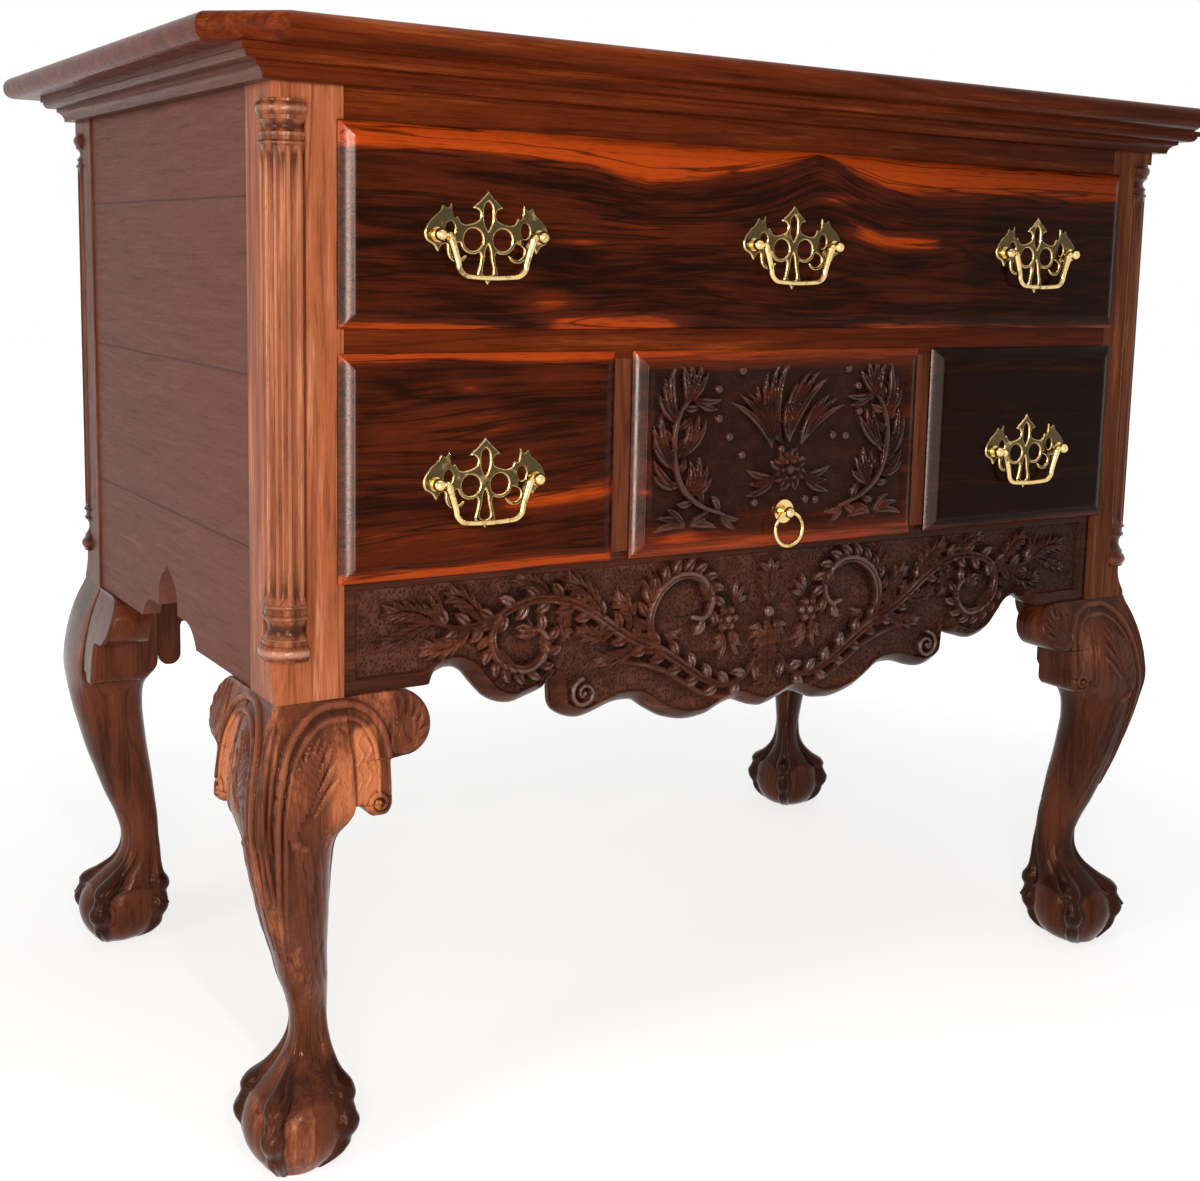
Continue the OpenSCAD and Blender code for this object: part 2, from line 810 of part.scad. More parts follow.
module middle_drawer_back() {
    color(plain_wood) drawer_back(middle_open, lower_z, lower_open_h);
}

module middle_drawer_bottom() {
    color(plain_wood) bottom_board(middle_open, lower_z);
}

module right_drawer_front() {
    color(dark_wood) difference() {
        drawer_front(right_open, lower_z, lower_open_h);
        post_holes(pull_x, lower_pull_z);
    }
}

module right_drawer_sides() {
    color(plain_wood) drawer_sides(right_open, lower_z, lower_open_h);
}

module right_drawer_back() {
    color(plain_wood) drawer_back(right_open, lower_z, lower_open_h);
}

module right_drawer_bottom() {
    color(plain_wood) bottom_board(right_open, lower_z);
}

// a flat ring between two radii, for the pierced straps of a plate
module strap_ring(x, z, r, w) {
    translate([x, z]) difference() {
        circle(r);
        circle(r - w);
    }
}

// right half of a pierced plate, its origin midway between the posts: crown, middle slot, loop,
// lower leg, bat wing and hooked scroll; each part runs a little past the middle line
module plate_half() {
    strap = 2.8;
    lap = -0.5;
    loop = [11.5, -3, 10.2];
    hook = [25, -11, 7.5];
    polygon([[lap, 30], [0, 30], [5, 24], [12.5, 18], [8.5, 16.5], [6.5, 13], [8, 7], [lap, -2],
             [lap, 1.5], [3.6, 8], [3.6, 21], [lap, 23]]);
    strap_ring(loop[0], loop[1], loop[2], strap);
    polygon([[lap, -4], [lap, 1], [2.4, 2.5], [3, -2], [4, -12], [8, -25], [6.5, -29], [2, -30], [0, -32.5],
             [lap, -32.5], [lap, -26.5], [4, -25], [1.2, -10]]);
    difference() {
        polygon([[19, -4], [20.5, 8], [25, 13], [26, 18], [30.5, 24], [32.5, 17.5], [38, 18], [40, 12],
                 [46, 7], [47, 1], [44.5, -6], [38, -8], [36, -12], [31, -7], [26, -5]]);
        translate([26.5, 3.5]) circle(3.4);
    }
    difference() {
        translate([hook[0], hook[1]]) circle(hook[2]);
        translate([hook[0], hook[1]]) circle(hook[2] - strap);
        translate([hook[0] - hook[2], hook[1]]) square(hook[2]);
    }
}

// the outline above is drawn for posts this far apart
drawn_gap = 76;
module pull_plate(x, z) {
    translate([x, face_y, z]) rotate([90, 0, 0]) difference() {
        both_sides() linear_extrude(plate_t) scale(post_gap / drawn_gap) plate_half();
        for (s = [-1, 1]) translate([s * post_gap / 2, 0, -1])
            cylinder(h = plate_t + 2, r = shank_r + pin_fit);
    }
}

module upper_plates() {
    color(brass) for (s = [-1:1]) pull_plate(s * pull_x, upper_pull_z);
}

module left_plate() {
    color(brass) pull_plate(-pull_x, lower_pull_z);
}

module right_plate() {
    color(brass) pull_plate(pull_x, lower_pull_z);
}

// a post stands on the plate with its round head on the bail's axis; a nut holds it inside
nut_t = 4;
module pull_post(foot_y) {
    collar_r = shank_r + 2.4;
    shank_end = front_y + front_t + nut_t + 1;
    difference() {
        union() {
            translate([0, axis_y, 0]) rotate([90, 0, 0]) sphere(head_r);
            translate([0, foot_y, 0]) rotate([90, 0, 0]) cylinder(h = foot_y - axis_y, r = shank_r + 0.8);
            translate([0, foot_y, 0]) rotate([90, 0, 0]) cylinder(h = 1.4, r = collar_r);
            translate([0, shank_end, 0]) rotate([90, 0, 0])
                cylinder(h = shank_end - foot_y, r = shank_r);
        }
        children();
    }
}

module post_nut() {
    translate([0, front_y + front_t + nut_t, 0]) rotate([90, 0, 0]) difference() {
        cylinder(h = nut_t, r = 6, $fn = 6);
        translate([0, 0, -1]) cylinder(h = nut_t + 2, r = shank_r + pin_fit);
    }
}

pin_depth = 3;
module pull_posts(x, z) {
    for (s = [-1, 1]) translate([x + s * post_gap / 2, 0, z]) {
        pull_post(face_y - plate_t)
            translate([-s * (head_r - pin_depth), axis_y, 0]) rotate([0, -s * 90, 0])
                cylinder(h = pin_depth + 1, r = pin_r + pin_fit);
        post_nut();
    }
}

module upper_posts() {
    color(brass) for (s = [-1:1]) pull_posts(s * pull_x, upper_pull_z);
}

module left_posts() {
    color(brass) pull_posts(-pull_x, lower_pull_z);
}

module right_posts() {
    color(brass) pull_posts(pull_x, lower_pull_z);
}

// the bail hangs between the posts: its middle line, right half, from its pin to its lowest point,
// as [x, z, radius]
bail_path = let (
        pin_x = post_gap / 2 - head_r + pin_depth - 0.3,
        elbow = bail_end_r + 0.3,
        leg_x = post_gap / 2 - head_r - 0.5 - bail_end_r,
        bend = 9,
        foot_x = leg_x - 4.7
    ) concat(
        [[pin_x, 0, pin_r], [leg_x + elbow, 0, pin_r]],
        [for (a = [15:25:90]) [leg_x + elbow - elbow * sin(a), elbow * cos(a) - elbow, bail_end_r]],
        [for (a = [0:22.5:90])
            [foot_x - bend + bend * cos(a), bend - bail_drop - bend * sin(a), bail_r + 0.5 * cos(a)]
        ],
        [[(foot_x - bend) / 2, -bail_drop - 0.5, bail_r], [0, -bail_drop - 0.7, bail_r]]
    );

function side_of(p) = [-p[0], p[1], p[2]];
function flat(p) = [p[0], p[1]];
full_bail = concat(
    bail_path,
    [for (i = [len(bail_path) - 2:-1:0]) side_of(bail_path[i])]
);

// a round bar swept along a line in the X-Z plane; each ring halves the bend at its point
function bar_ring(path, i, n) =
    let (
        last = len(path) - 1,
        back = flat(path[i]) - flat(path[max(i - 1, 0)]),
        ahead = flat(path[min(i + 1, last)]) - flat(path[i]),
        u = (norm(back) > 0 ? back / norm(back) : [0, 0]),
        v = (norm(ahead) > 0 ? ahead / norm(ahead) : [0, 0]),
        along = (u + v) / norm(u + v),
        across = [along[1], -along[0]],
        r = path[i][2]
    )
    [for (j = [0:n - 1])
        let (a = j * 360 / n)
        [path[i][0] + r * cos(a) * across[0], r * sin(a), path[i][1] + r * cos(a) * across[1]]
    ];

module bail(x, z) {
    bar_sides = 12;
    translate([x, axis_y, z])
        skin([for (i = [0:len(full_bail) - 1]) bar_ring(full_bail, i, bar_sides)]);
}

module upper_left_bail() {
    color(brass) bail(-pull_x, upper_pull_z);
}

module upper_middle_bail() {
    color(brass) bail(0, upper_pull_z);
}

module upper_right_bail() {
    color(brass) bail(pull_x, upper_pull_z);
}

module left_bail() {
    color(brass) bail(-pull_x, lower_pull_z);
}

module right_bail() {
    color(brass) bail(pull_x, lower_pull_z);
}

// the ring hangs in an eye through its post's head, wide enough for the ring's curve
ring_fit = 0.8;
module ring_post() {
    rose_r = 9;
    color(brass) translate([0, 0, ring_z]) {
        pull_post(face_y - plate_t)
            translate([-head_r - 1, axis_y, 0]) rotate([0, 90, 0])
                cylinder(h = 2 * head_r + 2, r = wire_r + ring_fit);
        translate([0, face_y, 0]) rotate([90, 0, 0]) cylinder(h = plate_t, r = rose_r);
        post_nut();
    }
}

module ring() {
    color(brass) translate([0, axis_y, ring_z - ring_r]) rotate([90, 0, 0])
        rotate_extrude() translate([ring_r, 0]) circle(wire_r, $fn = 24);
}

top();
cornice_front();
cornice_left();
cornice_right();
leg_front_left();
leg_front_right();
leg_back_left();
leg_back_right();
knee_blocks_front_left();
knee_blocks_front_right();
knee_blocks_back_left();
knee_blocks_back_right();
column_front_left();
column_front_right();
column_back_left();
column_back_right();
side_panel_left();
side_panel_right();
back_panel();
back_rail();
top_rail();
mid_rail();
divider_left();
divider_right();
apron();
upper_runners();
lower_side_runners();
lower_centre_runners();
kicker_rails();
glue_blocks();
upper_drawer_front();
upper_drawer_sides();
upper_drawer_back();
upper_drawer_bottom();
left_drawer_front();
left_drawer_sides();
left_drawer_back();
left_drawer_bottom();
middle_drawer_front();
middle_drawer_sides();
middle_drawer_back();
middle_drawer_bottom();
right_drawer_front();
right_drawer_sides();
right_drawer_back();
right_drawer_bottom();
upper_plates();
left_plate();
right_plate();
upper_posts();
left_posts();
right_posts();
upper_left_bail();
upper_middle_bail();
upper_right_bail();
left_bail();
right_bail();
ring_post();
ring();
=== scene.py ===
import math
import bpy
import numpy as np
from mathutils import Matrix, Vector


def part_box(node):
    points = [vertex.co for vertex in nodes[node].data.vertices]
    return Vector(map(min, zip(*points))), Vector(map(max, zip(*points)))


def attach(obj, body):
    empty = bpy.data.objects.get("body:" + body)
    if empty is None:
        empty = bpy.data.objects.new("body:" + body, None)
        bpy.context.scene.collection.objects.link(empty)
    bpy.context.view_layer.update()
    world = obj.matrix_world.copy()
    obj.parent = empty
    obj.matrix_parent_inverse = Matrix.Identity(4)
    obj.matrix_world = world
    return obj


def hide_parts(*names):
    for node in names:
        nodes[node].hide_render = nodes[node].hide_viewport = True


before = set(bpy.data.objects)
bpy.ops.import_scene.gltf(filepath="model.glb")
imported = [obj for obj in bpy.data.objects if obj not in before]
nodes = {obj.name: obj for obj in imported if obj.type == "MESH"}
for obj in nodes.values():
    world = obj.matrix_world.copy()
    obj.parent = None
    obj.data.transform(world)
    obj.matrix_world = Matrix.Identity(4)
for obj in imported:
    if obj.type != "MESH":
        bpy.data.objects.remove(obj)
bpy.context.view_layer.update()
print("frame loaded,", len(nodes), "nodes")

perMetre = 1000
millimetre = 0.001

# places taken from the construction, in millimetres
railLow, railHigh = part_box("mid_rail")
backLow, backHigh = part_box("back_panel")
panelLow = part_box("side_panel_left")[0]
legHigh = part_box("leg_front_left")[1]
caseSize = {
    "frontY": railLow.y * perMetre,
    "backY": backHigh.y * perMetre,
    "innerX": railHigh.x * perMetre,
    "postWidth": 48.0,
    "kneeLine": panelLow.z * perMetre,
    "underTop": legHigh.z * perMetre,
    "lowerZ": backLow.z * perMetre,
}
caseSize["halfWidth"] = caseSize["innerX"] + caseSize["postWidth"]


# camera: fitted to the photograph, which is 1200 wide and 1181 high
cameraFit = {
    "place": (-766.0, -1223.8, 622.0),
    "yaw": 33.13, "pitch": -8.1, "roll": 1.45,
    "focalPixels": 1633.0, "middle": (646.8, 491.5), "photo": (1200, 1181),
    "sensor": 36,
}


def makeCamera(fit):
    # forward turns by yaw from +Y towards +X and rises by pitch; right and up then turn by roll
    yaw, pitch, roll = (math.radians(fit[k]) for k in ("yaw", "pitch", "roll"))
    forward = Vector((math.sin(yaw) * math.cos(pitch), math.cos(yaw) * math.cos(pitch), math.sin(pitch)))
    right = Vector((math.cos(yaw), -math.sin(yaw), 0))
    up = right.cross(forward)
    turnedRight = math.cos(roll) * right + math.sin(roll) * up
    turnedUp = math.cos(roll) * up - math.sin(roll) * right
    width, height = fit["photo"]
    data = bpy.data.cameras.new("camera")
    data.sensor_fit = "HORIZONTAL"
    data.sensor_width = fit["sensor"]
    data.lens = fit["focalPixels"] * fit["sensor"] / width
    data.shift_x = (width / 2 - fit["middle"][0]) / width
    data.shift_y = (fit["middle"][1] - height / 2) / width
    camera = bpy.data.objects.new("camera", data)
    place = Matrix.Translation(Vector(fit["place"]) / perMetre)
    place = place @ Matrix((turnedRight, turnedUp, -forward)).transposed().to_4x4()
    camera.matrix_world = place
    bpy.context.scene.collection.objects.link(camera)
    bpy.context.scene.camera = camera


makeCamera(cameraFit)
print("camera set")


# mesh helpers: grids of points are in millimetres, meshes in metres
def gridQuads(rows, cols, closed=False):
    # quad (i, j) joins points (i, j), (i+1, j), (i+1, j+1) and (i, j+1); closed rows join their ends
    i, j = np.meshgrid(np.arange(rows - 1), np.arange(cols if closed else cols - 1), indexing="ij")
    j2 = (j + 1) % cols
    return np.stack([i * cols + j, (i + 1) * cols + j, (i + 1) * cols + j2, i * cols + j2], -1).reshape(-1, 4)


def fanTriangles(ring, middle):
    # triangle j joins ring point j, ring point j+1 and the middle point
    ring = np.asarray(ring)
    return np.stack([ring, np.roll(ring, -1), np.full(len(ring), middle)], -1)


def meshPiece(name, points, quads, triangles, body, slotName, material, stands=(), fields=None, sharp=38):
    # one object from points, quads and triangles; all faces turn round if the enclosed volume is negative
    points = np.asarray(points, float) * millimetre
    quads = np.asarray(quads, int).reshape(-1, 4)
    triangles = np.asarray(triangles, int).reshape(-1, 3)
    allTriangles = np.concatenate([quads[:, [0, 1, 2]], quads[:, [0, 2, 3]], triangles])
    corners = points[allTriangles] - points.mean(0)
    volume = np.einsum("ij,ij->i", corners[:, 0], np.cross(corners[:, 1], corners[:, 2])).sum()
    if volume < 0:
        quads, triangles = quads[:, ::-1], triangles[:, ::-1]
    mesh = bpy.data.meshes.new(name)
    mesh.vertices.add(len(points))
    mesh.vertices.foreach_set("co", points.astype(np.float32).ravel())
    loops = np.concatenate([quads.ravel(), triangles.ravel()])
    mesh.loops.add(len(loops))
    mesh.loops.foreach_set("vertex_index", loops.astype(np.int32))
    mesh.polygons.add(len(quads) + len(triangles))
    starts = np.concatenate([np.arange(len(quads)) * 4, len(quads) * 4 + np.arange(len(triangles)) * 3])
    mesh.polygons.foreach_set("loop_start", starts.astype(np.int32))
    mesh.update(calc_edges=True)
    mesh.validate()
    mesh.shade_smooth()
    mesh.set_sharp_from_angle(angle=math.radians(sharp))
    for fieldName, values in (fields or {}).items():
        values = np.asarray(values, np.float32)
        kind = "FLOAT" if values.ndim == 1 else "FLOAT_VECTOR"
        attribute = mesh.attributes.new(fieldName, kind, "POINT")
        attribute.data.foreach_set("value" if values.ndim == 1 else "vector", values.ravel())
    mesh.materials.append(material)
    piece = bpy.data.objects.new(name, mesh)
    bpy.context.scene.collection.objects.link(piece)
    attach(piece, body)
    if stands:
        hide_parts(*stands)
    return piece


def loftPiece(name, rings, *rest, fields=None, **more):
    # closed rings of points (ring, point, xyz), joined one to the next, with a fan over each end
    count, size = rings.shape[:2]
    points = np.concatenate([rings.reshape(-1, 3), [rings[0].mean(0), rings[-1].mean(0)]])
    ends = np.concatenate([fanTriangles(np.arange(size)[::-1], count * size),
                           fanTriangles((count - 1) * size + np.arange(size), count * size + 1)])
    padded = {}
    for fieldName, values in (fields or {}).items():
        rows = np.asarray(values).reshape(count * size, -1)
        padded[fieldName] = np.concatenate([rows, rows[[0, -1]]]).squeeze()
    return meshPiece(name, points, gridQuads(count, size, closed=True), ends, *rest, fields=padded, **more)


def smoothStep(low, high, value):
    # 3 t^2 - 2 t^3 with t the share of the way from low to high
    t = np.clip((value - low) / (high - low), 0, 1)
    return t * t * (3 - 2 * t)


def smoothLine(points, steps=6):
    # a curve through the given points: cubics in every column, whose slope at a point is half the way
    # from the point before it to the point after it
    p = np.asarray(points, float)
    p = np.vstack([2 * p[0] - p[1], p, 2 * p[-1] - p[-2]])
    t = np.linspace(0, 1, steps, endpoint=False)[:, None, None]
    a, b, c, d = p[:-3], p[1:-2], p[2:-1], p[3:]
    curve = 0.5 * (2 * b + (c - a) * t + (2 * a - 5 * b + 4 * c - d) * t ** 2
                   + (3 * b - a - 3 * c + d) * t ** 3)
    return np.vstack([curve.transpose(1, 0, 2).reshape(-1, p.shape[1]), p[-2]])


def smoothTable(table, at):
    # each column of the table as a smooth function of its first: a cubic whose slopes are mean slopes
    table = np.asarray(table, float)
    x, y = table[:, 0], table[:, 1:]
    slopes = np.gradient(y, x, axis=0)
    k = np.clip(np.searchsorted(x, at, side="right") - 1, 0, len(x) - 2)
    h = (x[k + 1] - x[k])[:, None]
    t = ((at - x[k]) / h[:, 0])[:, None]
    return ((2 * t ** 3 - 3 * t ** 2 + 1) * y[k] + (t ** 3 - 2 * t ** 2 + t) * h * slopes[k]
            + (3 * t ** 2 - 2 * t ** 3) * y[k + 1] + (t ** 3 - t ** 2) * h * slopes[k + 1])


# carving: a relief is a height over a grid of points (u, v)
strokeLook = {
    # shares of a stroke's own width and height, from its root to its tip
    "bladeWidths": np.array([0.35, 0.85, 1, 0.75, 0.1]), "bladeHeights": np.array([0.4, 0.9, 1, 0.85, 0.35]),
    "leafWidths": np.array([0.2, 0.55, 0.5, 0.12]), "leafHeights": np.array([0.3, 0.45, 0.45, 0.3]),
    "veinWidth": 0.24, "leafBend": 0.24, "leafBlade": 0.46, "vineLean": 0.72, "vineBend": 0.22,
    # a leaf's lobes: how far up the spine they start, their reach over it and the height they gain
    "lobeSpread": 0.78, "lobeReach": (0.2, 0.68, 0.7), "lobeHeights": (0.85, 0.15),
    # its end blade: where it starts, how far past the spine it goes, its width; the groove along the spine
    "endFrom": 0.62, "endPast": 0.6, "endWidth": 0.3, "ribWidth": 0.05, "ribDepth": 0.4,
}


class Relief:
    # starts flat; u and v may be lengths along any two ways over the surface
    def __init__(self, u, v):
        self.u, self.v = u, v
        self.height = np.zeros(u.shape)

    def near(self, line, reach):
        # distance from a polyline, and the share of its length, at the points within reach of it
        low, high = line.min(0) - reach, line.max(0) + reach
        chosen = np.nonzero((self.u > low[0]) & (self.u < high[0]) & (self.v > low[1]) & (self.v < high[1]))
        p = np.stack([self.u[chosen], self.v[chosen]], -1)[:, None, :]
        a, b = line[:-1], line[1:]
        run = b - a
        length2 = (run ** 2).sum(-1) + 1e-12
        t = np.clip(((p - a) * run).sum(-1) / length2, 0, 1)
        gap = np.sqrt((((a + t[..., None] * run) - p) ** 2).sum(-1))
        best = gap.argmin(1)
        rows = np.arange(len(best))
        lengths = np.concatenate([[0], np.cumsum(np.sqrt(length2))])
        share = (lengths[best] + t[rows, best] * np.sqrt(length2[best])) / lengths[-1]
        return chosen, gap[rows, best], share

    def ridge(self, line, width, height, steps=6):
        # h(t) sqrt(1 - (d / w(t))^2): a rounded ridge along a smooth line; w and h follow lists along it
        line = smoothLine(line, steps) if len(line) > 2 else np.asarray(line, float)
        width, height = np.atleast_1d(width).astype(float), np.atleast_1d(height).astype(float)
        chosen, gap, share = self.near(line, width.max())
        w = np.interp(share, np.linspace(0, 1, len(width)), width)
        h = np.interp(share, np.linspace(0, 1, len(height)), height)
        raised = h * np.sqrt(np.clip(1 - (gap / np.maximum(w, 1e-3)) ** 2, 0, 1))
        self.height[chosen] = np.maximum(self.height[chosen], raised)

    def groove(self, line, width, depth, steps=6):
        # takes depth exp(-(d / w)^2) away along a smooth line
        line = smoothLine(line, steps) if len(line) > 2 else np.asarray(line, float)
        chosen, gap, share = self.near(line, 2.5 * width)
        fade = smoothStep(0, 0.15, share) * (1 - smoothStep(0.85, 1, share))
        self.height[chosen] -= depth * np.exp(-(gap / width) ** 2) * fade

    def boss(self, middle, radius, height):
        # h sqrt(1 - (d / r)^2): a round bead
        gap = np.hypot(self.u - middle[0], self.v - middle[1])
        self.height = np.maximum(self.height, height * np.sqrt(np.clip(1 - (gap / radius) ** 2, 0, 1)))

    def blade(self, root, tip, bend, width, height, vein=0.35):
        # a tapering ridge along a parabola from root to tip, its middle pushed sideways by bend, with a vein
        root, tip = np.asarray(root, float), np.asarray(tip, float)
        run = tip - root
        middle = (root + tip) / 2 + bend * np.array([-run[1], run[0]])
        t = np.linspace(0, 1, 9)[:, None]
        line = (1 - t) ** 2 * root + 2 * t * (1 - t) * middle + t ** 2 * tip
        self.ridge(line, strokeLook["bladeWidths"] * width, strokeLook["bladeHeights"] * height, 1)
        self.groove(line[1:-1], width * strokeLook["veinWidth"], height * vein, 1)

    def fan(self, root, tips, bend, width, height):
        # blades from one root to several tips
        for tip in tips:
            self.blade(root, tip, bend, width, height)

    def leaf(self, spine, width, height, lobes=5, sides=(-1, 1), sweep=0.36):
        # an acanthus leaf: a low body along a curved spine, and blades that leave it forwards and flare out
        spine = smoothLine(spine, 8)
        lengths = np.concatenate([[0], np.cumsum(np.hypot(*np.diff(spine, axis=0).T))])
        total = lengths[-1]
        at = lambda share: np.array([np.interp(share * total, lengths, spine[:, c]) for c in (0, 1)])
        self.ridge(spine[::3], strokeLook["leafWidths"] * width, strokeLook["leafHeights"] * height, 2)
        first, rise, power = strokeLook["lobeReach"]
        low, gain = strokeLook["lobeHeights"]
        for k in range(lobes):
            share = strokeLook["lobeSpread"] * k / lobes
            ahead = at(min(share + sweep, 1)) - at(min(share + sweep, 1) - 0.06)
            ahead /= np.hypot(*ahead) + 1e-9
            reach = width * math.sin(math.pi * (first + rise * k / lobes)) ** power
            for side in sides:
                tip = at(min(share + sweep, 1)) + side * reach * np.array([-ahead[1], ahead[0]])
                self.blade(at(share), tip, -strokeLook["leafBend"] * side,
                           strokeLook["leafBlade"] * total / (lobes + 1), height * (low + gain * k / lobes))
        end = spine[-1] + (spine[-1] - at(0.9)) * strokeLook["endPast"]
        self.blade(at(strokeLook["endFrom"]), end, 0, strokeLook["endWidth"] * width, height)
        self.groove(spine[2:-4:3], width * strokeLook["ribWidth"], height * strokeLook["ribDepth"], 2)

    def vine(self, line, width, height, reach, gap, sides=(-1, 1), thick=0.27):
        # a ridge that small blades leave forwards, one every gap, on one side or on both in turn
        spine = smoothLine(line, 10)
        lengths = np.concatenate([[0], np.cumsum(np.hypot(*np.diff(spine, axis=0).T))])
        at = lambda place: np.array([np.interp(place, lengths, spine[:, c]) for c in (0, 1)])
        self.ridge(line, width, height)
        for k, place in enumerate(np.arange(gap * 0.6, lengths[-1] - gap * 0.4, gap)):
            ahead = at(place + 0.5) - at(place)
            ahead /= np.hypot(*ahead) + 1e-9
            side = sides[k % len(sides)]
            aside = np.array([-ahead[1], ahead[0]])
            tip = at(place) + reach * (strokeLook["vineLean"] * ahead + strokeLook["vineLean"] * side * aside)
            self.blade(at(place), tip, strokeLook["vineBend"] * side, thick * reach, np.max(height) * 0.95)

    def shade(self, reach, depth):
        # 0.5 + (h - mean of h nearby) / depth: a mask for painted shade beside raised work and a painted
        # highlight on its crests
        mean = self.height
        for axis in (0, 1):
            for _ in range(2):
                margins = [(reach + 1, reach) if k == axis else (0, 0) for k in (0, 1)]
                padded = np.cumsum(np.pad(mean, margins, "edge"), axis)
                high = np.take(padded, np.arange(2 * reach + 1, padded.shape[axis]), axis)
                low = np.take(padded, np.arange(0, padded.shape[axis] - 2 * reach - 1), axis)
                mean = (high - low) / (2 * reach + 1)
        return np.clip(0.5 + (self.height - mean) / depth, 0, 1)

    def scroll(self, middle, outer, inner, turns, startAngle, way, width, height):
        # a spiral ridge: the radius shrinks evenly from outer to inner over the turns; a bead ends it
        t = np.linspace(0, 1, int(14 * turns) + 4)
        radius = outer + (inner - outer) * t
        angle = math.radians(startAngle) + way * 2 * math.pi * turns * t
        line = np.stack([middle[0] + radius * np.cos(angle), middle[1] + radius * np.sin(angle)], -1)
        self.ridge(line, [width, width * 0.8], [height, height], 3)
        self.boss(middle, inner * 0.9, height * 1.1)


def reliefNormals(grid):
    # unit normals of a grid of points, from the cross product of its two directions
    across = np.gradient(grid, axis=0)
    along = np.gradient(grid, axis=1)
    normal = np.cross(across, along)
    return normal / (np.linalg.norm(normal, axis=-1, keepdims=True) + 1e-12)


# materials
def newGroup(name, inputs, outputs):
    # a shader node group; an input is a colour, a number or, where its value is None, a vector
    group = bpy.data.node_groups.new(name, "ShaderNodeTree")
    for socketName, value in inputs.items():
        kind = "Vector" if value is None else "Color" if isinstance(value, tuple) else "Float"
        socket = group.interface.new_socket(name=socketName, in_out="INPUT", socket_type="NodeSocket" + kind)
        if value is not None:
            socket.default_value = value
    for socketName in outputs:
        kind = "Color" if socketName == "Color" else "Float"
        group.interface.new_socket(name=socketName, in_out="OUTPUT", socket_type="NodeSocket" + kind)
    return group, group.nodes.new("NodeGroupInput"), group.nodes.new("NodeGroupOutput")


class Wiring:
    # short names for the nodes that the groups and materials below share
    def __init__(self, tree):
        self.tree = tree

    def node(self, kind, **values):
        # a new node with these settings
        made = self.tree.nodes.new(kind)
        for k, v in values.items():
            setattr(made, k, v)
        return made

    def join(self, source, target):
        # a link from an output to an input
        self.tree.links.new(source, target)

    def feed(self, socket, value):
        # a link where the value is another node's output, otherwise the plain value
        if isinstance(value, bpy.types.NodeSocket):
            self.join(value, socket)
        else:
            socket.default_value = value

    def math(self, operation, a, b=0.0):
        # the operation on two numbers or outputs
        made = self.node("ShaderNodeMath", operation=operation)
        self.feed(made.inputs[0], a)
        self.feed(made.inputs[1], b)
        return made.outputs[0]

    def plus(self, a, b):
        return self.math("ADD", a, b)

    def minus(self, a, b):
        return self.math("SUBTRACT", a, b)

    def times(self, a, b):
        return self.math("MULTIPLY", a, b)

    def field(self, name, output="Fac"):
        # the piece's own field of that name
        return self.node("ShaderNodeAttribute", attribute_name=name).outputs[output]

    def vector(self, operation, a, b):
        # the operation on two vectors
        made = self.node("ShaderNodeVectorMath", operation=operation)
        self.feed(made.inputs[0], a)
        self.feed(made.inputs[1], b)
        return made.outputs[0]

    def noise(self, vector, scale, detail=3.0, roughness=0.5):
        # soft noise over the vector; its Fac lies about 0.5
        made = self.node("ShaderNodeTexNoise")
        self.join(vector, made.inputs["Vector"])
        self.feed(made.inputs["Scale"], scale)
        made.inputs["Detail"].default_value = detail
        made.inputs["Roughness"].default_value = roughness
        return made

    def span(self, value, low, high, toLow=0.0, toHigh=1.0):
        # low to high becomes toLow to toHigh, eased at both ends and level beyond them
        made = self.node("ShaderNodeMapRange", interpolation_type="SMOOTHSTEP")
        self.feed(made.inputs["Value"], value)
        for socket, number in zip(("From Min", "From Max", "To Min", "To Max"), (low, high, toLow, toHigh)):
            self.feed(made.inputs[socket], number)
        return made.outputs["Result"]

    def mix(self, factor, a, b, blend="MIX"):
        # colour a where the factor is 0, and b, or a blended with b, where it is 1
        made = self.node("ShaderNodeMix", data_type="RGBA", blend_type=blend)
        self.feed(made.inputs[0], factor)
        self.feed(made.inputs[6], a)
        self.feed(made.inputs[7], b)
        return made.outputs[2]


grainLook = {
    # stretch: how much longer than wide each kind of streak is drawn, as a share along the grain
    "coarseStretch": 0.06, "fineStretch": 0.04, "lineStretch": 0.05, "poreStretch": 0.035,
    "fineScale": 620.0, "poreScale": 1700.0, "lineShare": 0.45, "lineHalf": 0.03,
    "fineShare": 0.45, "poreDepth": 0.5, "pore": (0.6, 0.7), "broadStretch": (3.0, 9.0, 9.0),
}


